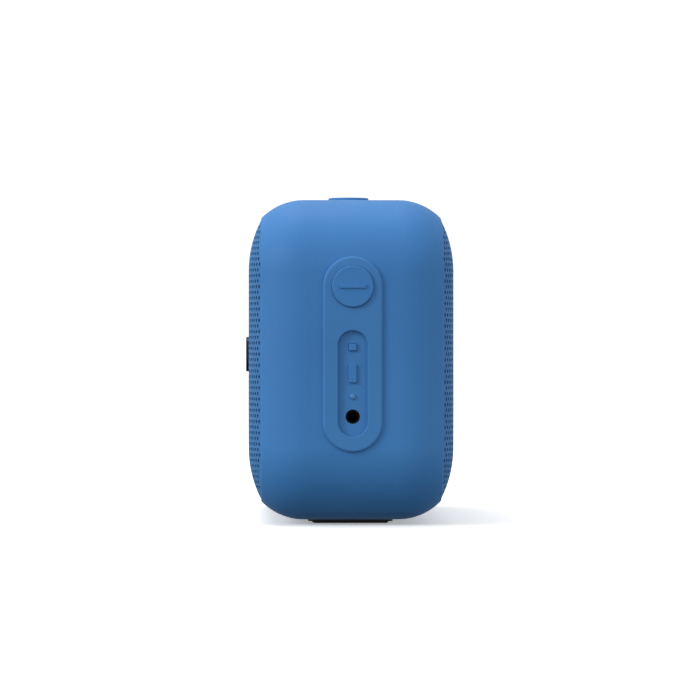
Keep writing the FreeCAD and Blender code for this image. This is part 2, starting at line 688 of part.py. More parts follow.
def driver_surround():
    """A half-roll between the cone's edge and the flange."""
    middle, roll, wall = (CONE_R + 31.0) / 2, (31.0 - CONE_R) / 2, 0.5
    outer = Part.makeTorus(middle, roll).cut(Part.makeTorus(middle, roll - wall))
    front = Part.makeCylinder(DRIVER_R, roll + 1, Vector(0, 0, -roll - 1))
    half_roll = outer.common(front)
    landing = spun([(31.0 - wall, -wall), (33.0, -wall), (33.0, 0), (31.0 - wall, 0)])
    lip = spun([(CONE_R - 1.2, -wall), (CONE_R + wall, -wall), (CONE_R + wall, 0), (CONE_R - 1.2, 0)])
    return half_roll.fuse([landing, lip]).removeSplitter()


def driver_cone():
    neck = [(COIL_R, 8.0), (COIL_R, 8.8)]
    edge = [(CONE_R - 1.5, 1.0), (CONE_R, 1.0), (CONE_R, 0), (CONE_R - 2, 0)]
    return spun(neck + edge)


def driver_dust_cap():
    """A shallow shell over the voice coil."""
    reach, radius, wall, seat = 12.5, 18.0, 0.4, 7.0
    depth = math.sqrt(radius**2 - reach**2)
    ball = Part.makeSphere(radius, Vector(0, 0, seat + depth)).cut(
        Part.makeSphere(radius - wall, Vector(0, 0, seat + depth))
    )
    cap = ball.common(Part.makeCylinder(reach, radius, Vector(0, 0, seat + 0.25 - radius)))
    return cap.cut(cone_space())


def cone_space():
    """The space that the cone fills, a little larger, kept clear of the dust cap."""
    neck = [(COIL_R - 0.2, 7.2), (COIL_R - 0.2, 9.2)]
    return spun(neck + [(CONE_R, 1.4), (CONE_R, -0.6), (CONE_R - 2.6, -0.6)])


def driver_voice_coil():
    return spun([(9.9, 8.9), (COIL_R - 0.05, 8.9), (COIL_R - 0.05, 20.5), (9.9, 20.5)])


def driver_spider():
    """A corrugated disc, drawn as three flat-topped waves."""
    points_top = [(COIL_R, 10.0)]
    wave = (22.0 - COIL_R) / 6
    for k in range(1, 6):
        points_top.append((COIL_R + wave * k, 9.3 if k % 2 else 10.7))
    points_top.append((22.0, 10.0))
    points_top.append((25.0, 10.0))
    points_under = [(r, h + 0.45) for r, h in reversed(points_top)]
    return spun(points_top + points_under)


def driver_front_plate():
    return spun([(10.6, 13.5), (23.0, 13.5), (23.0, 17.5), (10.6, 17.5)])


def driver_magnet():
    return spun([(14.0, 17.5), (25.0, 17.5), (25.0, 27.5), (14.0, 27.5)])


def driver_yoke():
    """The back plate and its pole."""
    return spun([(0, 13.5), (9.6, 13.5), (9.6, 27.5), (23.0, 27.5), (23.0, 31.5), (0, 31.5)])


DRIVER_PARTS = {
    "basket": driver_basket,
    "surround": driver_surround,
    "cone": driver_cone,
    "dust_cap": driver_dust_cap,
    "voice_coil": driver_voice_coil,
    "spider": driver_spider,
    "front_plate": driver_front_plate,
    "magnet": driver_magnet,
    "yoke": driver_yoke,
}
DRIVER_SIDES = {"left": -DRIVER_X, "right": DRIVER_X}
FACE_BACK = Rotation(X_AXIS, -90)  # turns +Z to +Y, into the speaker from its front


def driver_base(x):
    return Vector(x, -BAFFLE_FACE_Y, MID_Z)


def driver_nodes():
    nodes = {}
    for side, x in DRIVER_SIDES.items():
        for part, make in DRIVER_PARTS.items():
            nodes[f"driver_{side}_{part}"] = placed(make(), driver_base(x), FACE_BACK)
    return nodes


def driver_seats():
    """What the front baffle loses for each driver."""
    seats = []
    for x in DRIVER_SIDES.values():
        seat = Part.makeCylinder(33.3, 10).fuse(Part.makeCylinder(DRIVER_R + 0.15, DRIVER_FLANGE_T))
        seats.append(placed(seat, driver_base(x), FACE_BACK))
        for px, pz in driver_screw_places(x):
            seats.append(rod(1.05, Vector(px, -BAFFLE_FACE_Y, pz), Vector(px, -BAFFLE_Y, pz)))
    return seats


def driver_screw_places(x):
    reach = DRIVER_SCREW_R * math.sqrt(0.5)
    return [(x + sx * reach, MID_Z + sz * reach) for sx in (-1, 1) for sz in (-1, 1)]


# ---------- Passive radiator ----------
def racetrack_ring(radius, inner, y_from, y_to):
    return racetrack(radius, y_from, y_to).cut(racetrack(inner, y_from, y_to))


def radiator_frame():
    face = BAFFLE_FACE_Y
    ring = racetrack_ring(RADIATOR_R, RADIATOR_OPENING_R, face - RADIATOR_FLANGE_T, face)
    skirt = racetrack_ring(RADIATOR_SKIRT_R, RADIATOR_OPENING_R, face - 5.0, face - RADIATOR_FLANGE_T)
    frame = ring.fuse(skirt)
    for x, z in radiator_screw_places():
        frame = frame.cut(rod(1.1, Vector(x, face - RADIATOR_FLANGE_T, z), Vector(x, face, z)))
    return frame.removeSplitter()


def radiator_screw_places():
    reach = RADIATOR_R - 1.9
    corner = reach * math.sqrt(0.5)
    places = [(sx * (RADIATOR_HALF_STRAIGHT + corner), sz * corner) for sx in (-1, 1) for sz in (-1, 1)]
    return [(x, MID_Z + z) for x, z in places + [(0, reach), (0, -reach)]]


def radiator_surround():
    """A half-roll swept round the racetrack, from straight tubes and half rings."""
    middle = (RADIATOR_OPENING_R + RADIATOR_PLATE_R) / 2
    roll, wall = (RADIATOR_OPENING_R - RADIATOR_PLATE_R) / 2, 0.7
    half = RADIATOR_HALF_STRAIGHT

    def swept(radius):
        pieces = []
        for side in (-1, 1):
            end = Part.makeTorus(middle, radius, Vector(side * half, RADIATOR_Y, MID_Z), Y_AXIS)
            beyond = Part.makeBox(FAR, FAR, 2 * FAR, Vector(half, 0, MID_Z - FAR))
            pieces.append(end.common(beyond if side > 0 else mirrored_x(beyond)))
            z = MID_Z + side * middle
            pieces.append(rod(radius, Vector(-half, RADIATOR_Y, z), Vector(half, RADIATOR_Y, z)))
        return pieces[0].fuse(pieces[1:]).removeSplitter()

    shell = swept(roll).cut(swept(roll - wall)).common(slab(RADIATOR_Y, FAR))
    lip = racetrack_ring(RADIATOR_PLATE_R + wall, RADIATOR_PLATE_R - 2.5, RADIATOR_Y, RADIATOR_Y + wall)
    return shell.fuse(lip).removeSplitter()


def radiator_diaphragm():
    return racetrack(RADIATOR_PLATE_R - 0.2, RADIATOR_Y - 1.2, RADIATOR_Y)


def radiator_weight():
    return racetrack(RADIATOR_PLATE_R - 9.0, RADIATOR_Y - 3.2, RADIATOR_Y - 1.2)


def radiator_seat():
    face = BAFFLE_FACE_Y
    cuts = [
        racetrack(RADIATOR_SKIRT_R + 0.15, BAFFLE_Y - 5, face),
        racetrack(RADIATOR_R + 0.15, face - RADIATOR_FLANGE_T, face + 1),
    ]
    return cuts + [rod(1.05, Vector(x, BAFFLE_Y, z), Vector(x, face, z)) for x, z in radiator_screw_places()]


# ---------- Power and electronics ----------
def tray_post_places():
    return [(sx * 14.0, MID_Z + sz * 34.0) for sx in (-1, 1) for sz in (-1, 1)]


def battery_tray():
    """A plate with end and side walls round the cells, on four posts to the front baffle."""
    plate = Part.makeBox(
        2 * TRAY_HALF_X, TRAY_T, 2 * TRAY_HALF_Z, Vector(-TRAY_HALF_X, TRAY_Y - TRAY_T, MID_Z - TRAY_HALF_Z)
    )
    walls = []
    for side in (-1, 1):
        z = MID_Z + side * (TRAY_HALF_Z - 1.0)
        walls.append(Part.makeBox(2 * TRAY_HALF_X, 17.0, 2.0, Vector(-TRAY_HALF_X, TRAY_Y, z - 1.0)))
        x = side * (TRAY_HALF_X - 0.5)
        walls.append(Part.makeBox(1.0, 14.0, 2 * TRAY_HALF_Z, Vector(x - 0.5, TRAY_Y, MID_Z - TRAY_HALF_Z)))
    posts = [
        rod(3.2, Vector(x, -BAFFLE_Y, z), Vector(x, TRAY_Y - TRAY_T, z)) for x, z in tray_post_places()
    ]
    tray = plate.fuse(walls + posts)
    for x, z in tray_post_places():
        tray = tray.cut(rod(1.05, Vector(x, -BAFFLE_Y, z), Vector(x, -BAFFLE_Y + 7.0, z)))
    return tray.removeSplitter()


def battery_cells():
    """Two cylindrical cells, each with its raised contact."""
    cells = []
    for side in (-1, 1):
        x = side * (CELL_R + 0.1)
        low, high = MID_Z - CELL_LENGTH / 2, MID_Z + CELL_LENGTH / 2
        can = rod(CELL_R, Vector(x, CELL_Y, low), Vector(x, CELL_Y, high))
        ends = [e for e in can.Edges if e.Curve.TypeId == "Part::GeomCircle"]
        can = can.makeFillet(0.8, ends)
        tip = high if side > 0 else low
        cells.append(can.fuse(rod(2.8, Vector(x, CELL_Y, tip), Vector(x, CELL_Y, tip + side * 0.9))))
    return Part.makeCompound(cells)


def main_board():
    corner = Vector(-MAIN_BOARD_HALF_X, -MAIN_BOARD_HALF_Y, MAIN_BOARD_Z)
    board = Part.makeBox(2 * MAIN_BOARD_HALF_X, 2 * MAIN_BOARD_HALF_Y, BOARD_T, corner)
    for x, y in PILLAR_PLACES:
        board = board.cut(rod(1.1, Vector(x, y, MAIN_BOARD_Z), Vector(x, y, MAIN_BOARD_Z + BOARD_T)))
    return board


def main_board_parts():
    """Radio module, amplifier with its coils, capacitors and the sockets for the leads."""
    z = MAIN_BOARD_Z + BOARD_T
    parts = [Part.makeBox(17.0, 12.0, 2.4, Vector(-8.5, -6.0, z))]
    parts.append(Part.makeBox(9.0, 9.0, 1.2, Vector(29.0, -4.5, z)))
    parts.append(Part.makeBox(5.0, 5.0, 1.0, Vector(-28.0, -2.5, z)))
    for x, y in ((43.0, -7.0), (43.0, 1.0)):
        parts.append(Part.makeBox(6.0, 6.0, 4.0, Vector(x, y, z)))
    for x, y in ((20.0, 9.5), (32.0, 9.5), (-38.0, 8.0), (-38.0, -4.0)):
        parts.append(rod(3.1, Vector(x, y, z), Vector(x, y, z + 5.8)))
    for x in (-51.0, 51.0):
        parts.append(Part.makeBox(6.0, 4.5, SOCKET_H, Vector(x - 3.0, -13.0, z)))
    parts.append(Part.makeBox(7.0, 4.5, SOCKET_H, Vector(CELL_R - 3.5, 9.0, z)))
    return Part.makeCompound(parts)


# ---------- Leads ----------
def lead(points, bend):
    """A round lead along straight runs joined by tangent arcs."""
    edges = []
    here = points[0]
    for before, corner, after in zip(points, points[1:], points[2:]):
        into = (corner - before).normalize()
        out = (after - corner).normalize()
        half_turn = into.getAngle(out) / 2
        setback = bend * math.tan(half_turn)
        start, end = corner - into * setback, corner + out * setback
        inward = (out - into).normalize()
        middle = corner + inward * (bend / math.cos(half_turn) - bend)
        edges.append(Part.makeLine(here, start))
        edges.append(Part.Arc(start, middle, end).toShape())
        here = end
    edges.append(Part.makeLine(here, points[-1]))
    section = Part.Wire(Part.makeCircle(LEAD_R, points[0], points[1] - points[0]))
    return Part.Wire(edges).makePipeShell([section], True, False)


def driver_lead(side, offset):
    """From the board's socket, up behind the driver's basket to its terminal."""
    x, z = side * 51.0 + offset, SOCKET_TOP_Z
    route = [(-10.7, z), (-10.7, z + 6.0), (-15.6, z + 14.0), (-15.6, z + 17.7)]
    return lead([Vector(x, *point) for point in route], 3.0)


def battery_lead(offset):
    """From the board's socket, round the lower edge of a cell and up to its side."""
    x, z = CELL_R + offset, SOCKET_TOP_Z
    cell_side = CELL_Y + CELL_R + 0.5
    route = [(11.2, z), (11.2, z + 3.5), (14.2, z + 9.0), (14.2, z + 16.0), (cell_side, z + 18.5)]
    return lead([Vector(x, *point) for point in route], 3.0)


def leads():
    """A pair of leads to each driver and a pair to the cells."""
    pair = (-1.2, 1.2)
    tubes = [driver_lead(side, offset) for side in (-1, 1) for offset in pair]
    return Part.makeCompound(tubes + [battery_lead(offset) for offset in pair])


# ---------- Fasteners ----------
def pan_screw(head_r, head_h, shank_r, length):
    """Drawn with the underside of its head at height 0, the shank along -Z, and a cross recess."""
    head = Part.makeCylinder(head_r, head_h)
    top = [e for e in head.Edges if abs(e.CenterOfMass.z - head_h) < 1e-6]
    head = head.makeFillet(head_h * 0.5, top)
    screw = head.fuse(Part.makeCylinder(shank_r, length, Vector(0, 0, -length)))
    for a, b in ((0.25, head_r * 0.6), (head_r * 0.6, 0.25)):
        screw = screw.cut(Part.makeBox(2 * a, 2 * b, head_h, Vector(-a, -b, head_h * 0.45)))
    return screw.removeSplitter()


FACE_FRONT = Rotation(UP, Vector(0, -1, 0))
FACE_REAR = Rotation(UP, Y_AXIS)


def baffle_screws():
    screw = pan_screw(2.4, 1.6, 1.2, 8.0)
    screws = []
    for side, turn in ((-1, FACE_FRONT), (1, FACE_REAR)):
        screws += [placed(screw, Vector(x, side * BAFFLE_FACE_Y, z), turn) for x, z in baffle_screw_places()]
    return Part.makeCompound(screws)


def driver_screws():
    screw = pan_screw(1.7, 1.2, 1.0, 4.4)
    places = [p for x in DRIVER_SIDES.values() for p in driver_screw_places(x)]
    screws = [placed(screw, Vector(x, -BAFFLE_FACE_Y, z), FACE_FRONT) for x, z in places]
    screws += [placed(screw, Vector(x, BAFFLE_FACE_Y, z), FACE_REAR) for x, z in radiator_screw_places()]
    return Part.makeCompound(screws)


def board_screws():
    screw = pan_screw(1.9, 1.3, 1.0, 5.0)
    short = pan_screw(1.9, 1.3, 1.0, 4.4)
    screws = [placed(screw, Vector(x, y, MAIN_BOARD_Z + BOARD_T), Rotation()) for x, y in PILLAR_PLACES]
    under = Rotation(X_AXIS, 180)
    screws += [placed(short, Vector(x, y, KEY_BOARD_Z - BOARD_T), under) for x, y in key_board_screws()]
    for z in PORT_BOARD_SCREWS:
        screws.append(placed(screw, Vector(BOARD_SCREW_X, PORT_BOARD_Y, PANEL_Z + z), FACE_REAR))
    tray = pan_screw(2.4, 1.6, 1.0, 8.0)
    screws += [placed(tray, Vector(x, -BAFFLE_FACE_Y, z), FACE_FRONT) for x, z in tray_post_places()]
    return Part.makeCompound(screws)


# ---------- Assembly ----------
def build():
    top_holes, panel_holes, frame_pockets = key_cuts()
    openings = port_cuts()
    studs = badge_studs(0.85)
    tray_holes = [rod(1.1, Vector(x, -FAR, z), Vector(x, 0, z)) for x, z in tray_post_places()]
    nodes = {
        "silicone_sleeve": sleeve(),
        "core_frame": core_frame(frame_pockets, openings),
        "end_panel_right": end_panel(1, panel_holes[0], openings),
        "end_panel_left": end_panel(-1, panel_holes[1]),
        "top_panel": top_panel(top_holes),
        "base_foot": base_foot(),
        "front_grille": grille(-1).cut(studs),
        "rear_grille": grille(1),
        "front_acoustic_mesh": acoustic_mesh(-1).cut(studs),
        "rear_acoustic_mesh": acoustic_mesh(1),
        "front_badge": badge(),
        "front_baffle": baffle(-1, driver_seats() + tray_holes),
        "rear_baffle": baffle(1, radiator_seat()),
        "front_gasket": gasket(-1),
        "rear_gasket": gasket(1),
        "reset_button": reset_button(),
        "usb_port_plug": usb_port_plug(),
        "status_light_pipe": status_light_pipe(),
        "aux_socket": aux_socket(),
        "usb_socket": usb_socket(),
        "port_board": port_board(),
        "port_board_parts": port_board_parts(),
        "left_key_board": left_key_board(),
        "top_key_board": top_key_board(),
        "top_key_switches": top_key_switches(),
        "main_board": main_board(),
        "main_board_parts": main_board_parts(),
        "battery_tray": battery_tray(),
        "battery_cells": battery_cells(),
        "radiator_frame": radiator_frame(),
        "radiator_surround": radiator_surround(),
        "radiator_diaphragm": radiator_diaphragm(),
        "radiator_weight": radiator_weight(),
        "leads": leads(),
        "baffle_screws": baffle_screws(),
        "driver_screws": driver_screws(),
        "board_screws": board_screws(),
    }
    nodes.update(key_nodes())
    nodes.update(driver_nodes())
    return nodes


os.makedirs("parts", exist_ok=True)
for node, shape in build().items():
    solids = shape.Solids
    assert solids and all(s.isValid() and s.Volume > 0 for s in solids), f"{node} isn't a valid solid"
    Part.makeCompound(solids).exportStep(f"parts/{node}.step")
    print(f"{node}: {len(solids)} solid(s), {sum(s.Volume for s in solids):.0f} mm3")
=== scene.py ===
# %% Load the frame
import math

import bpy
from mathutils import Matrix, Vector


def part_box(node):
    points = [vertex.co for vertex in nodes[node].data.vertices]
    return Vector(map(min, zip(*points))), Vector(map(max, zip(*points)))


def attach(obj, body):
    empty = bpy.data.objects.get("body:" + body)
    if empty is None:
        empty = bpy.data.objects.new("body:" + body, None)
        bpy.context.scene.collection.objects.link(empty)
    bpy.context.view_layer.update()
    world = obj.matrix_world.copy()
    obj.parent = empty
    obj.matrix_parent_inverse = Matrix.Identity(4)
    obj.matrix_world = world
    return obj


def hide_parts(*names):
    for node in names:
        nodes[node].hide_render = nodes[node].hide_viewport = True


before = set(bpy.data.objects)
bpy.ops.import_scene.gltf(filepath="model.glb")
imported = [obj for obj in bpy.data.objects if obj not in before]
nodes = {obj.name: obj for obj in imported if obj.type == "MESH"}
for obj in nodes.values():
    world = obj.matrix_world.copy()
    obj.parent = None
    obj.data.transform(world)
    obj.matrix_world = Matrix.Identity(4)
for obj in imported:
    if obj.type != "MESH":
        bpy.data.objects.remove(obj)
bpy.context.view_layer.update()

# %% [markdown]
# A portable speaker stands on its foot with its long side across. A band of blue silicone wraps the whole
# body, a perforated metal grille closes the front and the back, and each end has a raised panel with a key.
# The controls are silicone too. Every hard shape already comes from the CAD model, so Blender's work is
# what CAD left plain: the thousands of holes in the grilles, the ribs under the foot, the waves of the
# drivers' spiders, and the finish of every piece. The first values are the scale and the height of the
# body's middle, read from the frame.

# %% Scale and places
MM = 0.001
sleeve_low, sleeve_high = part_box("silicone_sleeve")
MID_Z = (sleeve_low.z + sleeve_high.z) / 2
print(f"{len(nodes)} CAD nodes, the body's middle is {MID_Z / MM:.1f} mm up")

# %% [markdown]
# Node trees, both for shape and for finish, are lists of boxes and wires. Typed out in full they hide what
# they do, so three small helpers come first: one adds a node and fills its sockets from numbers or from
# other nodes, one does arithmetic, and one does arithmetic on vectors.

# %% Helpers for node trees
def put(tree, kind, sockets=(), **settings):
    """A new node. Each socket is given a plain value, or another node's output to be wired in."""
    made = tree.nodes.new(kind)
    for name, value in settings.items():
        setattr(made, name, value)
    for name, value in dict(sockets).items():
        if isinstance(value, bpy.types.NodeSocket):
            tree.links.new(value, made.inputs[name])
        else:
            made.inputs[name].default_value = value
    return made


def calc(tree, operation, *values):
    """The result of one arithmetic step."""
    return put(tree, "ShaderNodeMath", enumerate(values), operation=operation).outputs[0]


def vector_calc(tree, operation, *values):
    """The result of one step on vectors, or the length that it gives."""
    made = put(tree, "ShaderNodeVectorMath", enumerate(values), operation=operation)
    return made.outputs["Value" if operation in ("LENGTH", "DOT_PRODUCT") else "Vector"]


print("helpers ready")

# %% [markdown]
# ## The perforated grilles
# Each grille is a steel sheet punched with some four thousand holes in a staggered pattern, and pressed so
# that its four sides curl back towards the sleeve. Cutting the holes with booleans would be slow and would
# leave ragged faces, and a bump map would leave no real holes at the edge, where the curl shows them from
# the side. Geometry Nodes can do what the factory does. The sheet is drawn flat as an outline with circles
# inside it, it is filled and given its thickness while it is still flat, and it is bent last. First comes
# the rule for the bend.

# %% The grille's measures
grille_low, grille_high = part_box("front_grille")
GRILLE_EDGE_REACH = 19.2 * MM  # from where the sides start to curl, out to the sheet's edge, when bent
GRILLE_FLAT_LIP = 0.85 * MM  # the first part of that reach is still flat
GRILLE_CURL_R = 40.0 * MM
GRILLE_SHEET = 0.8 * MM
HOLE_PITCH = 2.4 * MM
HOLE_ROWS = 2.0 * MM
HOLE_SIZE = 1.4 * MM
HOLE_MARGIN = 0.75 * MM  # from the sheet's edge to the nearest hole's centre
SKIRT_FRONT = 31.4 * MM  # how far from the body's middle the skirt behind the edge begins
SKIRT_WALL = 0.45 * MM

grille_front_y = -grille_low.y
curl_angle = math.asin((GRILLE_EDGE_REACH - GRILLE_FLAT_LIP) / GRILLE_CURL_R)
flat_reach = GRILLE_FLAT_LIP + GRILLE_CURL_R * curl_angle
core_x = grille_high.x - GRILLE_EDGE_REACH
core_z = (grille_high.z - grille_low.z) / 2 - GRILLE_EDGE_REACH
print(f"the sides curl back by {math.degrees(curl_angle):.1f} degrees")
print(f"the flat sheet is {2000 * (core_x + flat_reach):.1f} by {2000 * (core_z + flat_reach):.1f} mm")

# %% [markdown]
# A modifier shows the sizes that its tree declares as named inputs, so the same tree makes both grilles. In
# the script an input is set by its identifier, such as Socket_3, which the interface gives when the input
# is made.

# %% Helpers for shape trees
def shape_tree(title, sizes):
    """An empty Geometry Nodes tree with the named sizes as inputs. Returns it with its group input node."""
    tree = bpy.data.node_groups.new(title, "GeometryNodeTree")
    tree.interface.new_socket("Geometry", in_out="OUTPUT", socket_type="NodeSocketGeometry")
    for name in sizes:
        socket_type = "NodeSocketMaterial" if name == "Material" else "NodeSocketFloat"
        tree.interface.new_socket(name, in_out="INPUT", socket_type=socket_type)
    return tree, tree.nodes.new("NodeGroupInput").outputs


def finish_tree(tree, geometry, material):
    """Every tree ends alike: real meshes in place of instances, then the material."""
    real = put(tree, "GeometryNodeRealizeInstances", {0: geometry}).outputs[0]
    coated = put(tree, "GeometryNodeSetMaterial", {"Geometry": real, "Material": material}).outputs[0]
    put(tree, "NodeGroupOutput", {0: coated})


def grown_mesh(name, tree, sizes):
    """Runs the tree with these sizes and keeps the result as a plain mesh object."""
    seed = bpy.data.objects.new("seed", bpy.data.meshes.new("seed"))
    bpy.context.scene.collection.objects.link(seed)
    modifier = seed.modifiers.new("grow", "NODES")
    modifier.node_group = tree
    for item in tree.interface.items_tree:
        if item.in_out == "INPUT":
            modifier[item.identifier] = sizes[item.name]
    grown = seed.evaluated_get(bpy.context.evaluated_depsgraph_get())
    mesh = bpy.data.meshes.new_from_object(grown)
    bpy.data.objects.remove(seed)
    mesh.name = name
    piece = bpy.data.objects.new(name, mesh)
    bpy.context.scene.collection.objects.link(piece)
    triangles = sum(len(face.vertices) - 2 for face in mesh.polygons)
    print(f"{name}: {triangles} triangles")
    return piece


print("shape helpers ready")

# %% [markdown]
# A point's reach is how far it lies outside the flat core, a rectangle in the sheet's middle. On the flat
# sheet every line of equal reach is a rectangle with round corners, and so is the sheet's own edge. The
# bend keeps the direction in which a point left the core and shortens its reach along an arc. Lengths
# across the curl are kept, so the holes stay round and evenly spread, as they do when a punched sheet is
# pressed.

# %% Reach and bend
def reach_from_core(tree, place, sizes):
    """The nearest point of the core, the step from there to the place, and that step's length."""
    corner = put(tree, "ShaderNodeCombineXYZ", {"X": sizes["Core X"], "Y": sizes["Core Z"]}).outputs[0]
    opposite = vector_calc(tree, "SCALE", corner)
    opposite.node.inputs["Scale"].default_value = -1.0
    nearest = vector_calc(tree, "MAXIMUM", vector_calc(tree, "MINIMUM", place, corner), opposite)
    step = vector_calc(tree, "MULTIPLY", vector_calc(tree, "SUBTRACT", place, nearest), (1, 1, 0))
    return nearest, step, vector_calc(tree, "LENGTH", step)


def bent_place(tree, place, sizes):
    """Where a point of the flat sheet goes. The sheet lies in the XY plane and its outer side faces +Z."""
    nearest, step, reach = reach_from_core(tree, place, sizes)
    depth = put(tree, "ShaderNodeSeparateXYZ", {0: place}).outputs["Z"]
    past_lip = calc(tree, "MAXIMUM", calc(tree, "SUBTRACT", reach, sizes["Flat Lip"]), 0.0)
    angle = calc(tree, "DIVIDE", past_lip, sizes["Curl Radius"])
    radius = calc(tree, "ADD", sizes["Curl Radius"], depth)
    lip = calc(tree, "MINIMUM", reach, sizes["Flat Lip"])
    bent_reach = calc(tree, "MULTIPLY_ADD", radius, calc(tree, "SINE", angle), lip)
    shorter = calc(tree, "DIVIDE", bent_reach, calc(tree, "MAXIMUM", reach, 1e-6))
    across = vector_calc(tree, "SCALE", step)
    tree.links.new(shorter, across.node.inputs["Scale"])
    curl_centre = calc(tree, "SUBTRACT", sizes["Front"], sizes["Curl Radius"])
    height = calc(tree, "MULTIPLY_ADD", radius, calc(tree, "COSINE", angle), curl_centre)
    lift = put(tree, "ShaderNodeCombineXYZ", {"Z": height}).outputs[0]
    flat = vector_calc(tree, "MULTIPLY", vector_calc(tree, "ADD", nearest, across), (1, 1, 0))
    return vector_calc(tree, "ADD", flat, lift)


print("bend ready")

# %% [markdown]
# The holes' centres are a grid whose every other row moves half a pitch. Filling one outline with four
# thousand circles inside it takes a minute, because that fill slows down with the square of its points. The
# pattern repeats, though: one slanted tile with a hole in its middle covers the plane when it is copied to
# every centre. So most of the sheet is welded tiles, and only the border, where the tiles would cross the
# edge, is filled round its own holes. Ten sides are enough for a round hole of this size, and they keep
# each grille below two hundred thousand triangles.

# %% The holes' centres
def outline(tree, sizes, reach, steps):
    """The closed curve at this reach from the core: a rectangle with filleted corners."""
    width = calc(tree, "MULTIPLY", calc(tree, "ADD", sizes["Core X"], reach), 2.0)
    height = calc(tree, "MULTIPLY", calc(tree, "ADD", sizes["Core Z"], reach), 2.0)
    box = put(tree, "GeometryNodeCurvePrimitiveQuadrilateral", {"Width": width, "Height": height}).outputs[0]
    return put(tree, "GeometryNodeFilletCurve", {"Curve": box, "Count": steps, "Radius": reach},
               mode="POLY").outputs[0]


def whole_steps(tree, half_length, pitch):
    """How many pitches fit twice the half length, and the length that they take."""
    count = calc(tree, "FLOOR", calc(tree, "DIVIDE", calc(tree, "MULTIPLY", half_length, 2.0), pitch))
    return calc(tree, "ADD", count, 1.0), calc(tree, "MULTIPLY", count, pitch)


def staggered_grid(tree, sizes):
    """Points in rows over the whole sheet, every other row moved half a pitch."""
    reach = sizes["Flat Reach"]
    columns, width = whole_steps(tree, calc(tree, "ADD", sizes["Core X"], reach), sizes["Hole Pitch"])
    rows, height = whole_steps(tree, calc(tree, "ADD", sizes["Core Z"], reach), sizes["Row Pitch"])
    grid = put(tree, "GeometryNodeMeshGrid",
               {"Size X": width, "Size Y": height, "Vertices X": columns, "Vertices Y": rows}).outputs["Mesh"]
    place = tree.nodes.new("GeometryNodeInputPosition").outputs[0]
    up = put(tree, "ShaderNodeSeparateXYZ", {0: place}).outputs["Y"]
    half_up = calc(tree, "MULTIPLY_ADD", height, 0.5, up)
    row = calc(tree, "ROUND", calc(tree, "DIVIDE", half_up, sizes["Row Pitch"]))
    share = calc(tree, "MULTIPLY_ADD", calc(tree, "MODULO", row, 2.0), 0.5, -0.25)
    along = calc(tree, "MULTIPLY", share, sizes["Hole Pitch"])
    shift = put(tree, "ShaderNodeCombineXYZ", {"X": along}).outputs[0]
    return put(tree, "GeometryNodeSetPosition", {"Geometry": grid, "Offset": shift}).outputs[0]


def split_by_reach(tree, points, sizes, margin):
    """The points that keep this far from the sheet's edge, and the ones that don't."""
    place = tree.nodes.new("GeometryNodeInputPosition").outputs[0]
    far = reach_from_core(tree, place, sizes)[2]
    inside = calc(tree, "LESS_THAN", far, calc(tree, "SUBTRACT", sizes["Flat Reach"], margin))
    return put(tree, "GeometryNodeSeparateGeometry", {"Geometry": points, "Selection": inside},
               domain="POINT").outputs


print("hole centres ready")

# %% The punched sheet, still flat
def joined(tree, *parts):
    socket = put(tree, "GeometryNodeJoinGeometry").inputs[0]
    for part in parts:
        tree.links.new(part, socket)
    return socket.node.outputs[0]


def welded(tree, mesh):
    return put(tree, "GeometryNodeMergeByDistance", {"Geometry": mesh, "Distance": 1e-6}).outputs[0]


def filled(tree, *curves):
    return put(tree, "GeometryNodeFillCurve", {"Curve": joined(tree, *curves)}, mode="TRIANGLES").outputs[0]


def thickened(tree, sheet, thickness):
    """A flat sheet made solid: a copy moved down, walls round every edge, and the sheet itself as the top."""
    down = put(tree, "ShaderNodeCombineXYZ", {"Z": calc(tree, "MULTIPLY", thickness, -1.0)}).outputs[0]
    walls = put(tree, "GeometryNodeExtrudeMesh", {"Mesh": sheet, "Offset": down, "Individual": False},
                mode="FACES").outputs["Mesh"]
    turned = put(tree, "GeometryNodeFlipFaces", {"Mesh": walls}).outputs[0]
    return welded(tree, joined(tree, turned, sheet))


def copies(tree, points, shape):
    placed = put(tree, "GeometryNodeInstanceOnPoints", {"Points": points, "Instance": shape}).outputs[0]
    return put(tree, "GeometryNodeRealizeInstances", {0: placed}).outputs[0]


def punched_sheet(tree, sizes):
    """Tiles with a hole each, and the border round them filled up to the sheet's edge."""
    radius = calc(tree, "MULTIPLY", sizes["Hole Size"], 0.5)
    hole = put(tree, "GeometryNodeCurvePrimitiveCircle", {"Resolution": 10, "Radius": radius}).outputs[0]
    slant = calc(tree, "MULTIPLY", sizes["Hole Pitch"], 0.5)
    tile = put(tree, "GeometryNodeCurvePrimitiveQuadrilateral",
               {"Width": sizes["Hole Pitch"], "Height": sizes["Row Pitch"], "Offset": slant},
               mode="PARALLELOGRAM").outputs[0]
    corner = put(tree, "ShaderNodeCombineXYZ", {
        "X": calc(tree, "MULTIPLY", sizes["Hole Pitch"], 0.75),
        "Y": calc(tree, "MULTIPLY", sizes["Row Pitch"], 0.5)}).outputs[0]
    usable = split_by_reach(tree, staggered_grid(tree, sizes), sizes, sizes["Margin"])["Selection"]
    points = split_by_reach(tree, usable, sizes, vector_calc(tree, "LENGTH", corner))
    tiles = copies(tree, points["Selection"], filled(tree, tile, hole))
    plain_tiles = welded(tree, copies(tree, points["Selection"], filled(tree, tile)))
    faces_beside = tree.nodes.new("GeometryNodeInputMeshEdgeNeighbors").outputs[0]
    rim = put(tree, "GeometryNodeMeshToCurve",
              {"Mesh": plain_tiles, "Selection": calc(tree, "LESS_THAN", faces_beside, 1.5)}).outputs[0]
    edge = outline(tree, sizes, sizes["Flat Reach"], 16)
    border = filled(tree, edge, rim, copies(tree, points["Inverted"], hole))
    return welded(tree, joined(tree, tiles, border))


print("sheet ready")

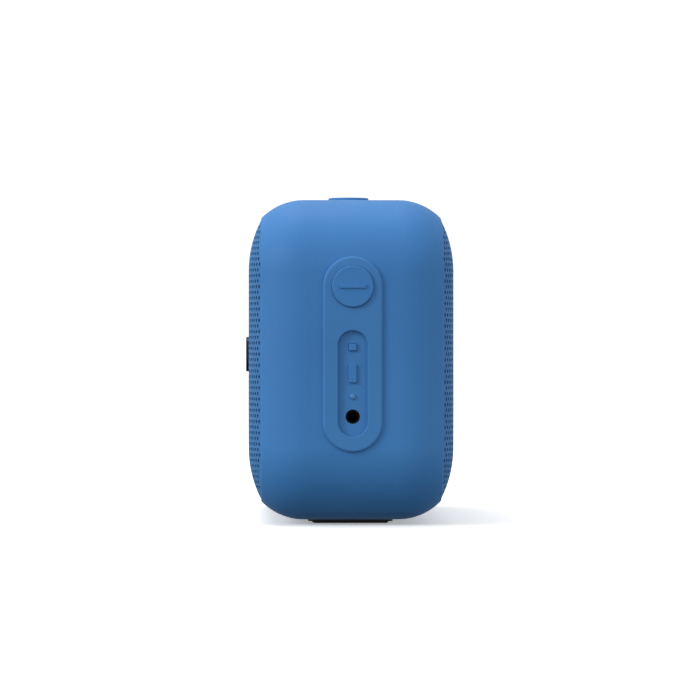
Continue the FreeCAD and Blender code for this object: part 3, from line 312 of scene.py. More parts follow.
# %% [markdown]
# Behind its edge the real sheet turns back once more, into a narrow skirt that snaps into the ledge. It is
# a closed strip swept round the same outline, at the reach that the edge has after the bend. The edges
# sharper than forty degrees are marked sharp, so the rims of the holes stay crisp while the curl is shaded
# smooth.

# %% The whole grille
GRILLE_SIZES = ("Core X", "Core Z", "Flat Reach", "Flat Lip", "Curl Radius", "Front", "Sheet", "Hole Pitch",
                "Row Pitch", "Hole Size", "Margin", "Edge Reach", "Skirt Front", "Skirt Back", "Skirt Wall",
                "Mid Height", "Turn", "Material")


def skirt(tree, sizes):
    """The strip behind the sheet's edge, as a closed ring."""
    reach = calc(tree, "MULTIPLY_ADD", sizes["Skirt Wall"], -0.5, sizes["Edge Reach"])
    depth = calc(tree, "SUBTRACT", sizes["Skirt Front"], sizes["Skirt Back"])
    middle = calc(tree, "MULTIPLY", calc(tree, "ADD", sizes["Skirt Front"], sizes["Skirt Back"]), 0.5)
    section = put(tree, "GeometryNodeCurvePrimitiveQuadrilateral",
                  {"Width": sizes["Skirt Wall"], "Height": depth}).outputs[0]
    ring = put(tree, "GeometryNodeCurveToMesh",
               {"Curve": outline(tree, sizes, reach, 16), "Profile Curve": section}).outputs[0]
    lift = put(tree, "ShaderNodeCombineXYZ", {"Z": middle}).outputs[0]
    return put(tree, "GeometryNodeSetPosition", {"Geometry": ring, "Offset": lift}).outputs[0]


def grille_tree():
    tree, sizes = shape_tree("perforated grille", GRILLE_SIZES)
    sheet = thickened(tree, punched_sheet(tree, sizes), sizes["Sheet"])
    place = tree.nodes.new("GeometryNodeInputPosition").outputs[0]
    bent = put(tree, "GeometryNodeSetPosition",
               {"Geometry": sheet, "Position": bent_place(tree, place, sizes)}).outputs[0]
    whole = joined(tree, bent, skirt(tree, sizes))
    fold = tree.nodes.new("GeometryNodeInputMeshEdgeAngle").outputs["Unsigned Angle"]
    crisp = calc(tree, "GREATER_THAN", fold, math.radians(40))
    shaded = put(tree, "GeometryNodeSetShadeSmooth",
                 {"Geometry": whole, "Selection": crisp, "Shade Smooth": False}, domain="EDGE").outputs[0]
    stand = put(tree, "ShaderNodeCombineXYZ", {"X": math.radians(90), "Z": sizes["Turn"]}).outputs[0]
    turn = put(tree, "FunctionNodeEulerToRotation", {0: stand}).outputs[0]
    up = put(tree, "ShaderNodeCombineXYZ", {"Z": sizes["Mid Height"]}).outputs[0]
    standing = put(tree, "GeometryNodeTransform",
                   {"Geometry": shaded, "Translation": up, "Rotation": turn}).outputs[0]
    finish_tree(tree, standing, sizes["Material"])
    return tree


punched_grille = grille_tree()
print("the grille's tree has", len(punched_grille.nodes), "nodes")

# %% [markdown]
# ## Finishes
# A finish is a procedural material: its colour, its gloss and its fine relief are patterns worked out from
# the piece's own coordinates, so nothing has to be unwrapped and the grain has its real size in
# millimetres. A value that doesn't change over the surface, such as sheen or coat, is set straight on the
# shader. The helpers keep each finish down to the few lines that tell it apart.

# %% Helpers for finishes
def srgb(red, green, blue):
    """A colour from its screen values of 0 to 255, as the linear light that the shader works in."""
    values = [v / 255 for v in (red, green, blue)]
    return (*[v / 12.92 if v <= 0.04045 else ((v + 0.055) / 1.055) ** 2.4 for v in values], 1.0)


def new_finish(name, **uniform):
    """A material, its node tree and its shader. The uniform values go on the shader's own sockets."""
    material = bpy.data.materials.new(name)
    material.use_nodes = True
    shader = material.node_tree.nodes["Principled BSDF"]
    for socket, value in uniform.items():
        shader.inputs[socket.replace("_", " ")].default_value = value
    return material, material.node_tree, shader


def own_place(tree, stretch=(1, 1, 1), turn=(0, 0, 0), centre=(0, 0, 0)):
    """The piece's own coordinates, moved so that centre is the origin, turned and then stretched."""
    place = put(tree, "ShaderNodeTexCoord").outputs["Object"]
    if (stretch, turn, centre) == ((1, 1, 1), (0, 0, 0), (0, 0, 0)):
        return place
    centred = vector_calc(tree, "SUBTRACT", place, centre)
    return put(tree, "ShaderNodeMapping", {"Vector": centred, "Rotation": turn, "Scale": stretch}).outputs[0]


def cloudy(tree, size, place=None, detail=3.0, roughness=0.5):
    """Soft noise from 0 to 1 whose blotches are about this size."""
    return put(tree, "ShaderNodeTexNoise", {
        "Vector": place or own_place(tree), "Scale": 1 / size, "Detail": detail, "Roughness": roughness,
    }).outputs["Fac"]


def spread(tree, value, low, high, start=0.3, end=0.7):
    """The value from start to end, spread over low to high."""
    return put(tree, "ShaderNodeMapRange",
               {"Value": value, "From Min": start, "From Max": end, "To Min": low, "To Max": high}).outputs[0]


def blend(tree, share, first, second):
    """A mix of two colours, or of a colour and another node's colour."""
    mixed = put(tree, "ShaderNodeMix", data_type="RGBA")
    for index, value in ((0, share), (6, first), (7, second)):
        if isinstance(value, bpy.types.NodeSocket):
            tree.links.new(value, mixed.inputs[index])
        else:
            mixed.inputs[index].default_value = value
    return mixed.outputs[2]


def relief(tree, height, depth, under=None):
    """A normal that shows the height, from 0 to 1, as real relief of this depth."""
    sockets = {"Height": height, "Distance": depth, "Strength": 1.0}
    if under:
        sockets["Normal"] = under
    return put(tree, "ShaderNodeBump", sockets).outputs[0]


def dress(tree, shader, **links):
    """Wires each result into the shader's socket of that name."""
    for socket, result in links.items():
        tree.links.new(result, shader.inputs[socket.replace("_", " ")])


print("finish helpers ready")

# %% [markdown]
# ## Blue silicone and blue plastic
# The sleeve, the keys and the little plug are matt silicone. Pigment never mixes quite evenly, so its
# colour drifts a little over a few centimetres. The mould gives it a very fine eroded grain, and handling
# leaves faint glossier patches. A thin sheen stands for the soft nap that makes silicone look milky towards
# its outline. The end panels are moulded plastic with a soft-touch paint of the same blue: the grain is
# finer and the gloss a little higher.

# %% Blue finishes
def blue_skin(name, light, dark, gloss, grain, grain_depth, sheen):
    """Matt blue: light and dark are the ends of its colour drift, gloss is the range of its roughness."""
    material, tree, shader = new_finish(
        name, Sheen_Weight=sheen, Sheen_Roughness=0.4, Specular_IOR_Level=0.25)
    drift = cloudy(tree, 45 * MM, detail=2.0)
    mottle = cloudy(tree, 1.6 * MM, detail=4.0)
    share = calc(tree, "MULTIPLY_ADD", mottle, 0.25, calc(tree, "MULTIPLY", drift, 0.75))
    handled = spread(tree, cloudy(tree, 22 * MM, detail=4.0), *gloss)
    eroded = cloudy(tree, grain, detail=2.0, roughness=0.7)
    dress(tree, shader, Base_Color=blend(tree, spread(tree, share, 0.0, 1.0), dark, light),
          Roughness=handled, Normal=relief(tree, eroded, grain_depth))
    return material


silicone_blue = blue_skin("silicone blue", srgb(63, 128, 192), srgb(58, 121, 185), (0.58, 0.66),
                          0.35 * MM, 0.012 * MM, 0.03)
panel_blue = blue_skin("panel blue", srgb(65, 128, 190), srgb(60, 122, 184), (0.52, 0.6),
                       0.25 * MM, 0.008 * MM, 0.02)
print("blue finishes:", silicone_blue.name, "and", panel_blue.name)

# %% [markdown]
# ## Powder-coated grille steel
# The grilles are painted the same blue, but metal under paint looks different from silicone: it has no nap,
# it shines less here, and it has the orange peel that powder leaves as it melts. The holes are real, so their
# darkness takes care of itself. On the real object the sheet is punched flat, pressed over a die and then
# sprayed. Noise is used for the peel because its bumps have no direction, just like the melted powder's.

# %% Grille finish
def grille_paint():
    material, tree, shader = new_finish("grille paint", Specular_IOR_Level=0.12)
    drift = cloudy(tree, 30 * MM, detail=2.0)
    peel = cloudy(tree, 0.9 * MM, detail=1.0)
    dress(tree, shader, Base_Color=blend(tree, drift, srgb(56, 116, 173), srgb(62, 124, 183)),
          Roughness=spread(tree, cloudy(tree, 8 * MM), 0.55, 0.65), Normal=relief(tree, peel, 0.02 * MM))
    return material


grille_blue = grille_paint()
print("grille finish:", grille_blue.name)

# %% [markdown]
# ## Both grilles
# The rear grille is the same pressing as the front one, turned half round. Growing it from the same tree
# with another turn costs nothing and keeps the two alike.

# %% Grow both grilles
grille_values = {
    "Core X": core_x, "Core Z": core_z, "Flat Reach": flat_reach, "Flat Lip": GRILLE_FLAT_LIP,
    "Curl Radius": GRILLE_CURL_R, "Front": grille_front_y, "Sheet": GRILLE_SHEET,
    "Hole Pitch": HOLE_PITCH, "Row Pitch": HOLE_ROWS, "Hole Size": HOLE_SIZE, "Margin": HOLE_MARGIN,
    "Edge Reach": GRILLE_EDGE_REACH, "Skirt Front": SKIRT_FRONT, "Skirt Back": -grille_high.y,
    "Skirt Wall": SKIRT_WALL, "Mid Height": MID_Z,
}
for name, cad_name, turn in (("front_grille_punched", "front_grille", 0.0),
                             ("rear_grille_punched", "rear_grille", math.pi)):
    piece = grown_mesh(name, punched_grille, {
        **grille_values, "Turn": turn, "Material": grille_blue})
    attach(piece, "casing")
    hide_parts(cad_name)

# %% [markdown]
# ## The ribbed foot
# A rubber foot of this kind is moulded with ribs across it. They give the rubber room to spread, so the
# foot grips better than a flat pad. The tree makes the pad by sweeping its outline along a short upright
# line. The ribs are short round-edged bars at an even pitch, and each is stretched to the foot's width at
# its place, so the ones near the round ends are shorter. All sizes are inputs, because the next speaker's
# foot will differ.

# %% Foot tree
FOOT_CORNER_R = 9.0 * MM
RIB_PITCH = 4.0 * MM
RIB_WIDTH = 2.4 * MM
RIB_HEIGHT = 0.7 * MM
RIB_MARGIN = 1.6 * MM
BAR_SHARE = 1.4  # a bar's height over its rib's, as the rest is sunk in the pad
FOOT_SIZES = ("Half X", "Half Y", "Corner Radius", "Thickness", "Rib Height", "Rib Width", "Rib Pitch",
              "Margin", "Material")


def foot_pad(tree, sizes):
    """The pad: its outline swept up from the ribs to the foot's top."""
    flat = put(tree, "GeometryNodeCurvePrimitiveQuadrilateral",
               {"Width": calc(tree, "MULTIPLY", sizes["Half X"], 2.0),
                "Height": calc(tree, "MULTIPLY", sizes["Half Y"], 2.0)}).outputs["Curve"]
    rounded = put(tree, "GeometryNodeFilletCurve",
                  {"Curve": flat, "Radius": sizes["Corner Radius"], "Limit Radius": False, "Count": 16},
                  mode="POLY").outputs["Curve"]
    bottom = put(tree, "ShaderNodeCombineXYZ", {"Z": sizes["Rib Height"]}).outputs[0]
    top = put(tree, "ShaderNodeCombineXYZ", {"Z": sizes["Thickness"]}).outputs[0]
    upright = put(tree, "GeometryNodeCurvePrimitiveLine", {"Start": bottom, "End": top}).outputs["Curve"]
    return put(tree, "GeometryNodeCurveToMesh",
               {"Curve": upright, "Profile Curve": rounded, "Fill Caps": True}).outputs["Mesh"]


def rib_bar(tree, sizes):
    """One rib, 1 m long across the foot, with a round-edged section."""
    height = calc(tree, "MULTIPLY", sizes["Rib Height"], BAR_SHARE)
    section = put(tree, "GeometryNodeCurvePrimitiveQuadrilateral",
                  {"Width": sizes["Rib Width"], "Height": height}).outputs["Curve"]
    rounded = put(tree, "GeometryNodeFilletCurve",
                  {"Curve": section, "Radius": calc(tree, "MULTIPLY", sizes["Rib Height"], 0.45), "Count": 4},
                  mode="POLY").outputs["Curve"]
    across = put(tree, "GeometryNodeCurvePrimitiveLine",
                 {"Start": (0.0, -0.5, 0.0), "End": (0.0, 0.5, 0.0)}).outputs["Curve"]
    return put(tree, "GeometryNodeCurveToMesh",
               {"Curve": across, "Profile Curve": rounded, "Fill Caps": True}).outputs["Mesh"]


def rib_row(tree, sizes):
    """Copies of the bar at an even pitch, each as long as the foot is wide there."""
    room = calc(tree, "SUBTRACT", sizes["Half X"], calc(tree, "MULTIPLY", sizes["Margin"], 2.0))
    steps = calc(tree, "FLOOR", calc(tree, "DIVIDE", room, sizes["Rib Pitch"]))
    count = calc(tree, "MULTIPLY_ADD", steps, 2.0, 1.0)
    half_run = calc(tree, "MULTIPLY", steps, sizes["Rib Pitch"])
    start = put(tree, "ShaderNodeCombineXYZ", {"X": calc(tree, "MULTIPLY", half_run, -1.0)}).outputs[0]
    pitch = put(tree, "ShaderNodeCombineXYZ", {"X": sizes["Rib Pitch"]}).outputs[0]
    row = put(tree, "GeometryNodeMeshLine", {"Count": count, "Start Location": start, "Offset": pitch},
              mode="OFFSET").outputs["Mesh"]
    place = put(tree, "ShaderNodeSeparateXYZ", {"Vector": put(tree, "GeometryNodeInputPosition").outputs[0]})
    straight = calc(tree, "SUBTRACT", sizes["Half X"], sizes["Corner Radius"])
    rib_edge = calc(tree, "ADD", calc(tree, "ABSOLUTE", place.outputs["X"]),
                    calc(tree, "MULTIPLY", sizes["Rib Width"], 0.5))
    past = calc(tree, "MAXIMUM", calc(tree, "SUBTRACT", rib_edge, straight), 0.0)
    radius_squared = calc(tree, "POWER", sizes["Corner Radius"], 2.0)
    drop = calc(tree, "SUBTRACT", sizes["Corner Radius"],
                calc(tree, "SQRT", calc(tree, "SUBTRACT", radius_squared, calc(tree, "POWER", past, 2.0))))
    half_length = calc(tree, "SUBTRACT", calc(tree, "SUBTRACT", sizes["Half Y"], drop), sizes["Margin"])
    stretch = put(tree, "ShaderNodeCombineXYZ",
                  {"X": 1.0, "Y": calc(tree, "MULTIPLY", half_length, 2.0), "Z": 1.0}).outputs[0]
    bars = put(tree, "GeometryNodeInstanceOnPoints",
               {"Points": row, "Instance": rib_bar(tree, sizes), "Scale": stretch}).outputs["Instances"]
    half_bar = calc(tree, "MULTIPLY", sizes["Rib Height"], BAR_SHARE / 2)
    up = put(tree, "ShaderNodeCombineXYZ", {"Z": half_bar}).outputs[0]
    return put(tree, "GeometryNodeTransform", {"Geometry": bars, "Translation": up}).outputs["Geometry"]


def foot_tree():
    tree, sizes = shape_tree("ribbed foot", FOOT_SIZES)
    whole = joined(tree, foot_pad(tree, sizes), rib_row(tree, sizes))
    flat = put(tree, "GeometryNodeSetShadeSmooth", {"Geometry": whole, "Shade Smooth": False}).outputs[0]
    finish_tree(tree, flat, sizes["Material"])
    return tree


ribbed_foot = foot_tree()
print("the foot's tree has", len(ribbed_foot.nodes), "nodes")

# %% [markdown]
# ## The drivers' spiders
# A spider is a disc of cloth pressed into rings of waves and stiffened with resin. It centres the voice
# coil and lets it move. The tree sweeps a closed loop round a circle, which gives a ring without a seam,
# and then gives each point its place from its number: its place along the loop sets its distance from the
# axis and its side of the cloth, and its place round the ring sets the angle. The waves are shallow and
# start at their deepest, so that the cone's neck clears the cloth at the end of its stroke.

# %% Spider tree
RING_STEPS = 72
LOOP_STEPS = 96
SPIDER_WAVES = 5.0
SPIDER_WAVE_DEPTH = 0.3 * MM  # to each side of the middle
SPIDER_SHEET = 0.4 * MM
SPIDER_NECK_R = 10.8 * MM  # just outside the voice coil
SPIDER_GAP = 0.02 * MM  # left free inside the box of the CAD spider
SPIDER_SIZES = ("Inner Radius", "Outer Radius", "Waves", "Wave Depth", "Sheet", "Centre X", "Middle Y",
                "Centre Z", "Material")


def spider_tree():
    tree, sizes = shape_tree("corrugated spider", SPIDER_SIZES)
    ring, loop = [put(tree, "GeometryNodeCurvePrimitiveCircle", {"Resolution": steps}).outputs["Curve"]
                  for steps in (RING_STEPS, LOOP_STEPS)]
    tube = put(tree, "GeometryNodeCurveToMesh", {"Curve": ring, "Profile Curve": loop}).outputs["Mesh"]
    number = tree.nodes.new("GeometryNodeInputIndex").outputs[0]
    angle = calc(tree, "MULTIPLY", calc(tree, "FLOOR", calc(tree, "DIVIDE", number, LOOP_STEPS)),
                 2 * math.pi / RING_STEPS)
    step = calc(tree, "MODULO", number, LOOP_STEPS)
    half = LOOP_STEPS // 2
    back = calc(tree, "GREATER_THAN", step, half - 0.5)
    from_start = calc(tree, "MINIMUM", step, calc(tree, "SUBTRACT", LOOP_STEPS - 1, step))
    out = calc(tree, "DIVIDE", from_start, half - 1)
    width = calc(tree, "SUBTRACT", sizes["Outer Radius"], sizes["Inner Radius"])
    radius = calc(tree, "MULTIPLY_ADD", out, width, sizes["Inner Radius"])
    turns = calc(tree, "MULTIPLY", out, sizes["Waves"])
    wave = calc(tree, "COSINE", calc(tree, "MULTIPLY", turns, 2 * math.pi))
    depth = calc(tree, "MULTIPLY_ADD", wave, sizes["Wave Depth"], sizes["Middle Y"])
    depth = calc(tree, "MULTIPLY_ADD", back, sizes["Sheet"], depth)
    place = put(tree, "ShaderNodeCombineXYZ", {
        "X": calc(tree, "MULTIPLY_ADD", radius, calc(tree, "COSINE", angle), sizes["Centre X"]),
        "Y": depth,
        "Z": calc(tree, "MULTIPLY_ADD", radius, calc(tree, "SINE", angle), sizes["Centre Z"])}).outputs[0]
    pressed = put(tree, "GeometryNodeSetPosition", {"Geometry": tube, "Position": place}).outputs[0]
    finish_tree(tree, pressed, sizes["Material"])
    return tree


corrugated_spider = spider_tree()
print("the spider's tree has", len(corrugated_spider.nodes), "nodes")

# %% [markdown]
# ## Moulded and rubbery finishes
# Most of the hidden pieces, and the foot, are moulded. Moulded skin is one colour with a slight drift, a
# gloss that varies where the plastic cooled differently, and the fine grain that was etched or sparked into
# the mould. One helper makes them all, and each piece differs in its colours, its gloss and its grain.
# Rubber is the roughest, glass-filled plastic shows its fibres as a coarser grain, and nylon and epoxy are
# a little glossier.

# %% Moulded finishes
def moulded(name, dark, light, gloss, grain, depth, drift=18 * MM, **uniform):
    """dark and light are the ends of the colour drift, gloss is the range of roughness."""
    material, tree, shader = new_finish(name, **uniform)
    broad = calc(tree, "MULTIPLY", cloudy(tree, drift), 0.7)
    share = calc(tree, "MULTIPLY_ADD", cloudy(tree, 1.2 * MM), 0.3, broad)
    dress(tree, shader, Base_Color=blend(tree, spread(tree, share, 0.0, 1.0), dark, light),
          Roughness=spread(tree, cloudy(tree, drift * 0.6), *gloss),
          Normal=relief(tree, cloudy(tree, grain, detail=2.0, roughness=0.7), depth))
    return material


finishes = {
    "silicone_blue": silicone_blue,
    "panel_blue": panel_blue,
    "grille_blue": grille_blue,
    "foot_black": moulded(
        "foot rubber", srgb(15, 16, 18), srgb(24, 25, 28), (0.78, 0.9), 0.5 * MM, 0.03 * MM
    ),
    "frame_black": moulded(
        "glass filled plastic", srgb(22, 23, 25), srgb(34, 35, 38), (0.5, 0.62), 0.8 * MM, 0.02 * MM
    ),
    # The jack's socket is black nylon, but this near-black colour and low specular are darker than the
    # plastic's own black: painted shade of the socket's deep hole.
    "socket_black": moulded(
        "black nylon with painted hole shade", srgb(4, 4, 5), srgb(9, 9, 10), (0.6, 0.7), 0.3 * MM, 0.006 * MM,
        Specular_IOR_Level=0.08
    ),
    "component_dark": moulded(
        "black epoxy", srgb(26, 26, 29), srgb(38, 38, 42), (0.4, 0.55), 0.25 * MM, 0.008 * MM,
        drift=5 * MM
    ),
    "surround_rubber": moulded(
        "surround rubber", srgb(17, 17, 19), srgb(27, 27, 30), (0.5, 0.62), 0.4 * MM, 0.01 * MM,
        Sheen_Weight=0.1
    ),
    "lead_red": moulded(
        "lead insulation", srgb(150, 24, 26), srgb(176, 34, 34), (0.35, 0.45), 0.6 * MM, 0.01 * MM,
        drift=9 * MM
    ),
    "basket_steel": moulded(
        "coated steel", srgb(30, 31, 34), srgb(42, 43, 47), (0.34, 0.46), 0.7 * MM, 0.01 * MM,
        Metallic=0.4
    ),
    "magnet_ferrite": moulded(
        "ferrite", srgb(52, 52, 55), srgb(70, 70, 74), (0.6, 0.75), 0.35 * MM, 0.03 * MM, drift=3 * MM
    ),
    "light_pipe": moulded(
        "light pipe", srgb(72, 136, 198), srgb(90, 152, 210), (0.3, 0.4), 0.3 * MM, 0.004 * MM,
        Transmission_Weight=0.15, IOR=1.49
    ),
}
print(len(finishes), "finishes so far")

# %% [markdown]
# ## Metal finishes
# Bare metal shows how it was worked. The zinc on stamped steel is faintly streaked along the strip, screws
# are tumbled so their grain has no direction, and the badge is drawn along its length and then dyed dark.
# Noise stretched in one direction gives the streaks. The same stretched noise drives both the gloss and the
# relief, because on real metal the two come from the same scratches.

# %% Metal finishes
def worked_metal(name, dark, light, gloss, streak, scratch, depth, **uniform):
    """streak is how far the scratches run along X, Y and Z, in scratch widths."""
    material, tree, shader = new_finish(name, Metallic=1.0, **uniform)
    along = own_place(tree, stretch=[1 / s for s in streak], centre=(0.0, 0.0, MID_Z))
    scratches = cloudy(tree, scratch, place=along, detail=4.0, roughness=0.6)
    tint = cloudy(tree, 12 * MM)
    dress(tree, shader, Base_Color=blend(tree, tint, dark, light), Roughness=spread(tree, scratches, *gloss),
          Normal=relief(tree, scratches, depth))
    return material


finishes["steel"] = worked_metal("zinc plated steel", srgb(176, 178, 182), srgb(200, 202, 205), (0.26, 0.42),
                                 (12, 1, 1), 0.15 * MM, 0.003 * MM)
finishes["screw_steel"] = worked_metal("screw zinc", srgb(150, 152, 156), srgb(178, 180, 184), (0.3, 0.45),
                                       (1, 1, 1), 0.3 * MM, 0.006 * MM)
finishes["badge_dark"] = worked_metal("dyed badge", srgb(40, 46, 60), srgb(50, 57, 72), (0.3, 0.44),
                                      (25, 1, 1), 0.12 * MM, 0.002 * MM)

# %% [markdown]
# ## Woven and wound finishes
# The cloth behind the grilles and the drivers' spiders are woven, and the voice coil is wound. Both are
# stripes: a weave is two sets of stripes that cross, with the higher thread showing, and a winding is one
# set along the driver's axis. A wave texture draws the stripes at the real thread spacing, and its height
# also makes the relief. The paper of the cones is a felt, so it gets two stretched noises that cross
# instead of stripes.

# %% Woven and wound finishes
def stripes(tree, pitch, axis):
    """Round-topped stripes from 0 to 1, at this spacing along the axis."""
    return put(tree, "ShaderNodeTexWave",
               {"Vector": own_place(tree), "Scale": math.pi / (10 * pitch), "Distortion": 0.6, "Detail": 1.0,
                "Detail Scale": 2.0}, bands_direction=axis).outputs["Fac"]


def woven(name, dark, light, pitch, depth, roughness):
    """The cloths stand upright, so their threads run along X and Z."""
    material, tree, shader = new_finish(name, Sheen_Weight=0.15)
    threads = calc(tree, "MAXIMUM", stripes(tree, pitch, "X"), stripes(tree, pitch, "Z"))
    worn = calc(tree, "MULTIPLY", threads, spread(tree, cloudy(tree, 9 * MM), 0.8, 1.0))
    dress(tree, shader, Base_Color=blend(tree, worn, dark, light),
          Roughness=spread(tree, cloudy(tree, 4 * MM), *roughness), Normal=relief(tree, threads, depth))
    return material


def wound_coil():
    material, tree, shader = new_finish("copper winding", Metallic=1.0)
    turns = stripes(tree, 0.25 * MM, "Y")
    dress(tree, shader, Base_Color=blend(tree, turns, srgb(120, 58, 30), srgb(208, 122, 74)),
          Roughness=spread(tree, cloudy(tree, 2 * MM), 0.25, 0.4), Normal=relief(tree, turns, 0.08 * MM))
    return material


def felted_paper():
    material, tree, shader = new_finish("cone paper")
    fibres = [cloudy(tree, 0.25 * MM, place=own_place(tree, stretch=stretch, centre=(0.0, 0.0, MID_Z)))
              for stretch in ((0.15, 1, 1), (1, 1, 0.15))]
    felt = calc(tree, "MAXIMUM", *fibres)
    dress(tree, shader, Base_Color=blend(tree, felt, srgb(38, 38, 40), srgb(66, 65, 64)),
          Roughness=spread(tree, cloudy(tree, 6 * MM), 0.8, 0.92), Normal=relief(tree, felt, 0.05 * MM))
    return material


finishes["mesh_black"] = woven("grille cloth", srgb(8, 9, 11), srgb(28, 30, 34), 0.5 * MM, 0.06 * MM,
                               (0.8, 0.92))
finishes["spider_cloth"] = woven("spider cloth", srgb(120, 84, 38), srgb(186, 142, 78), 0.6 * MM, 0.08 * MM,
                                 (0.7, 0.85))
finishes["coil_copper"] = wound_coil()
finishes["cone_paper"] = felted_paper()
print(len(finishes), "finishes so far")

# %% [markdown]
# ## Boards, foam and cell wrap
# A circuit board is green lacquer over copper. Where a track runs the lacquer stands a little higher and
# looks lighter. Tracks run straight and turn square, so a brick pattern with wide joints gives their look.
# Foam is a mass of small cut bubbles, and a Voronoi pattern is exactly that. The wrap on a cell is thin
# shrunk film: it is glossy and it wrinkles across the cell, so its noise is stretched round it.

# %% Board, foam and wrap
def lacquered_board():
    material, tree, shader = new_finish("board lacquer", Coat_Weight=0.3, Coat_Roughness=0.15)
    place = own_place(tree, centre=(0.0, 0.0, MID_Z))
    bricks = put(tree, "ShaderNodeTexBrick",
                 {"Vector": place, "Scale": 1.0, "Brick Width": 7 * MM, "Row Height": 1.3 * MM,
                  "Mortar Size": 0.25 * MM, "Mortar Smooth": 0.3, "Color1": srgb(22, 74, 44),
                  "Color2": srgb(28, 84, 50), "Mortar": srgb(44, 112, 68)})
    dress(tree, shader, Base_Color=bricks.outputs["Color"],
          Roughness=spread(tree, cloudy(tree, 6 * MM), 0.3, 0.42),
          Normal=relief(tree, bricks.outputs["Fac"], 0.03 * MM))
    return material


def cut_foam():
    material, tree, shader = new_finish("gasket foam")
    bubbles = put(tree, "ShaderNodeTexVoronoi",
                  {"Vector": own_place(tree), "Scale": 1 / (0.7 * MM)}).outputs["Distance"]
    dress(tree, shader, Base_Color=blend(tree, bubbles, srgb(14, 14, 15), srgb(46, 46, 49)),
          Roughness=spread(tree, cloudy(tree, 5 * MM), 0.88, 0.98), Normal=relief(tree, bubbles, 0.2 * MM))
    return material


def shrunk_wrap():
    material, tree, shader = new_finish("cell wrap", Coat_Weight=0.4, Coat_Roughness=0.12)
    round_it = own_place(tree, stretch=(0.3, 0.3, 1.6), centre=(0.0, 0.0, MID_Z))
    wrinkles = cloudy(tree, 1.5 * MM, place=round_it)
    dress(tree, shader, Base_Color=blend(tree, cloudy(tree, 14 * MM), srgb(56, 134, 92), srgb(72, 150, 106)),
          Roughness=spread(tree, wrinkles, 0.22, 0.36), Normal=relief(tree, wrinkles, 0.05 * MM))
    return material


finishes["board_green"] = lacquered_board()
finishes["gasket_foam"] = cut_foam()
finishes["cell_wrap"] = shrunk_wrap()
print(len(finishes), "finishes in all")

# %% [markdown]
# ## Grow the foot and the spiders, and dress the CAD pieces
# The foot and the spiders take their sizes from the boxes of the CAD pieces that they replace, so the two
# can't drift apart. Every other CAD piece keeps its shape and gets the finish of its slot, the hidden ones
# too, so the model also holds up when it is opened.

# %% Foot, spiders and dressing
foot_low, foot_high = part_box("base_foot")
foot = grown_mesh("base_foot_ribbed", ribbed_foot, {
    "Half X": foot_high.x, "Half Y": foot_high.y, "Corner Radius": FOOT_CORNER_R, "Thickness": foot_high.z,
    "Rib Height": RIB_HEIGHT, "Rib Width": RIB_WIDTH, "Rib Pitch": RIB_PITCH, "Margin": RIB_MARGIN,
    "Material": finishes["foot_black"]})
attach(foot, "casing")
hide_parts("base_foot")

for side in ("left", "right"):
    spider_low, spider_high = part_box(f"driver_{side}_spider")
    spider = grown_mesh(f"driver_{side}_spider_waved", corrugated_spider, {
        "Inner Radius": SPIDER_NECK_R, "Outer Radius": (spider_high.x - spider_low.x) / 2,
        "Waves": SPIDER_WAVES, "Wave Depth": SPIDER_WAVE_DEPTH, "Sheet": SPIDER_SHEET,
        "Centre X": (spider_low.x + spider_high.x) / 2,
        "Middle Y": spider_high.y - SPIDER_GAP - SPIDER_SHEET - SPIDER_WAVE_DEPTH,
        "Centre Z": (spider_low.z + spider_high.z) / 2, "Material": finishes["spider_cloth"]})
    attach(spider, "casing")
    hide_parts(f"driver_{side}_spider")

for node in nodes.values():
    node.data.materials[0] = finishes[node.data.materials[0].name.split(".")[0]]
print(len(nodes), "CAD nodes dressed")

# %% [markdown]
# ## Floor, light and camera
# The look wanted is a product shot on white: a pale floor that melts into a pale backdrop, a broad soft
# light from above, a second from the left front, and hardly any light from below. The sky is a gradient:
# white round the horizon, where the backdrop is, a little lower overhead, and nearly dark underneath. The
# floor is a sheet of lit white acrylic, as product tables have. It glows a little of its own, which keeps
# the shadow pale, but it doesn't light the body, so the underside still falls off into shade.

# %% Floor and light
FLOOR_RADIUS = 8
FLOOR_GLOW = 0.34
LIT_SPOT = (0, 0, 0.06)  # what both soft boxes point at
# Each band is a direction's height, from -1 straight down to 1 straight up, and the sky's strength there.
SKY_BANDS = ((-1.0, 0.08), (-0.6, 0.12), (-0.08, 0.7), (-0.02, 1.08), (0.12, 1.08), (0.35, 0.7), (1.0, 0.7))


def stage_floor():
    bpy.ops.mesh.primitive_circle_add(vertices=96, radius=FLOOR_RADIUS, fill_type="NGON")
    floor = bpy.context.object
    floor.name = "floor"
    material, tree, shader = new_finish("lit acrylic", Specular_IOR_Level=0.2,
                                        Emission_Color=(1, 1, 1, 1), Emission_Strength=FLOOR_GLOW)
    speck = cloudy(tree, 40 * MM)
    dress(tree, shader, Base_Color=blend(tree, speck, (0.93, 0.93, 0.93, 1.0), (0.95, 0.95, 0.95, 1.0)),
          Roughness=spread(tree, speck, 0.85, 0.92))
    floor.data.materials.append(material)
    floor.visible_diffuse = False
    floor.visible_glossy = False


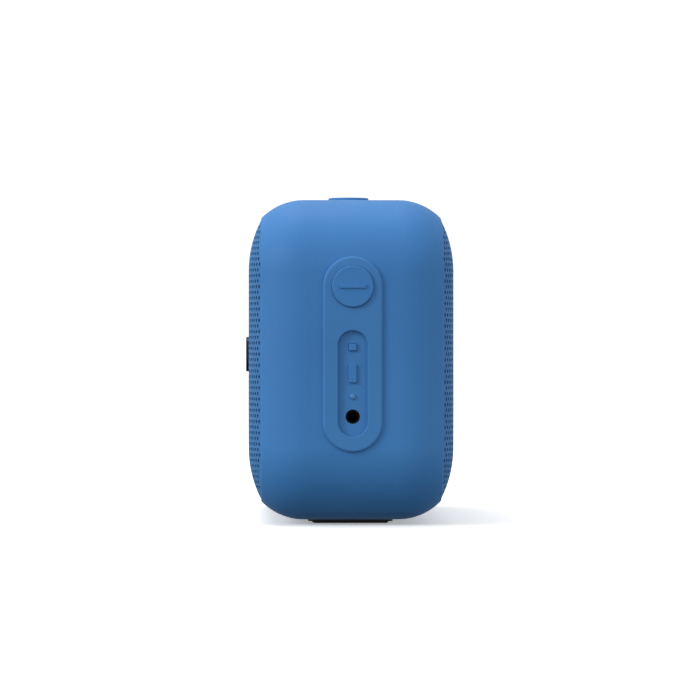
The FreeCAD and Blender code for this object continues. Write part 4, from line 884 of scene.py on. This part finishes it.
def graded_sky():
    world = bpy.data.worlds.new("studio")
    bpy.context.scene.world = world
    world.use_nodes = True
    tree = world.node_tree
    direction = put(tree, "ShaderNodeTexCoord").outputs["Generated"]
    height = put(tree, "ShaderNodeSeparateXYZ", {"Vector": direction}).outputs["Z"]
    share = calc(tree, "MULTIPLY_ADD", height, 0.5, 0.5)
    ramp = put(tree, "ShaderNodeValToRGB", {"Fac": share})
    stops = ramp.color_ramp.elements
    for band, _ in SKY_BANDS[1:-1]:
        stops.new((band + 1) / 2)
    for stop, (_, strength) in zip(stops, SKY_BANDS):
        stop.color = (strength, strength, strength, 1.0)
    tree.links.new(ramp.outputs["Color"], tree.nodes["Background"].inputs["Color"])


def soft_box(name, place, aim, width, height, power):
    data = bpy.data.lights.new(name, "AREA")
    data.shape = "RECTANGLE"
    data.size = width
    data.size_y = height
    data.energy = power
    lamp = bpy.data.objects.new(name, data)
    bpy.context.scene.collection.objects.link(lamp)
    lamp.location = place
    lamp.rotation_euler = (Vector(aim) - Vector(place)).to_track_quat("-Z", "Y").to_euler()


stage_floor()
graded_sky()
soft_box("overhead", (-0.3, -0.25, 1.3), LIT_SPOT, 0.8, 0.8, 8)
soft_box("left front", (0.8, -1.3, 0.8), LIT_SPOT, 0.5, 0.6, 10)
scene = bpy.context.scene
scene.view_settings.view_transform = "Standard"
scene.view_settings.look = "None"
print("floor, sky and two soft boxes set")

# %% [markdown]
# The camera looks at one end from 1.4 m away, through a long lens, so the sides show only as narrow strips.
# It stands a touch towards the front, which shows the badge's edge. Its aim is a little above the body's
# middle.

# %% Camera
CAMERA_FAR = 1.4
CAMERA_TURN = math.radians(1.3)
CAMERA_AIM_Z = 62.55 * MM
CAMERA_LENS = 204.07
CAMERA_SHIFT = 0.0054
end_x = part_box("end_panel_right")[1].x
camera_data = bpy.data.cameras.new("camera")
camera_data.sensor_width = 36
camera_data.lens = CAMERA_LENS
camera_data.shift_x = CAMERA_SHIFT
camera_data.clip_start = 0.01
camera_data.clip_end = 50
camera = bpy.data.objects.new("camera", camera_data)
scene.collection.objects.link(camera)
back = Vector((math.cos(CAMERA_TURN), -math.sin(CAMERA_TURN), 0))
camera.location = Vector((0, 0, CAMERA_AIM_Z)) + back * (CAMERA_FAR + end_x)
camera.rotation_euler = (-back).to_track_quat("-Z", "Y").to_euler()
scene.camera = camera
print(f"the camera stands {1000 * camera.location.length:.0f} mm from the origin")
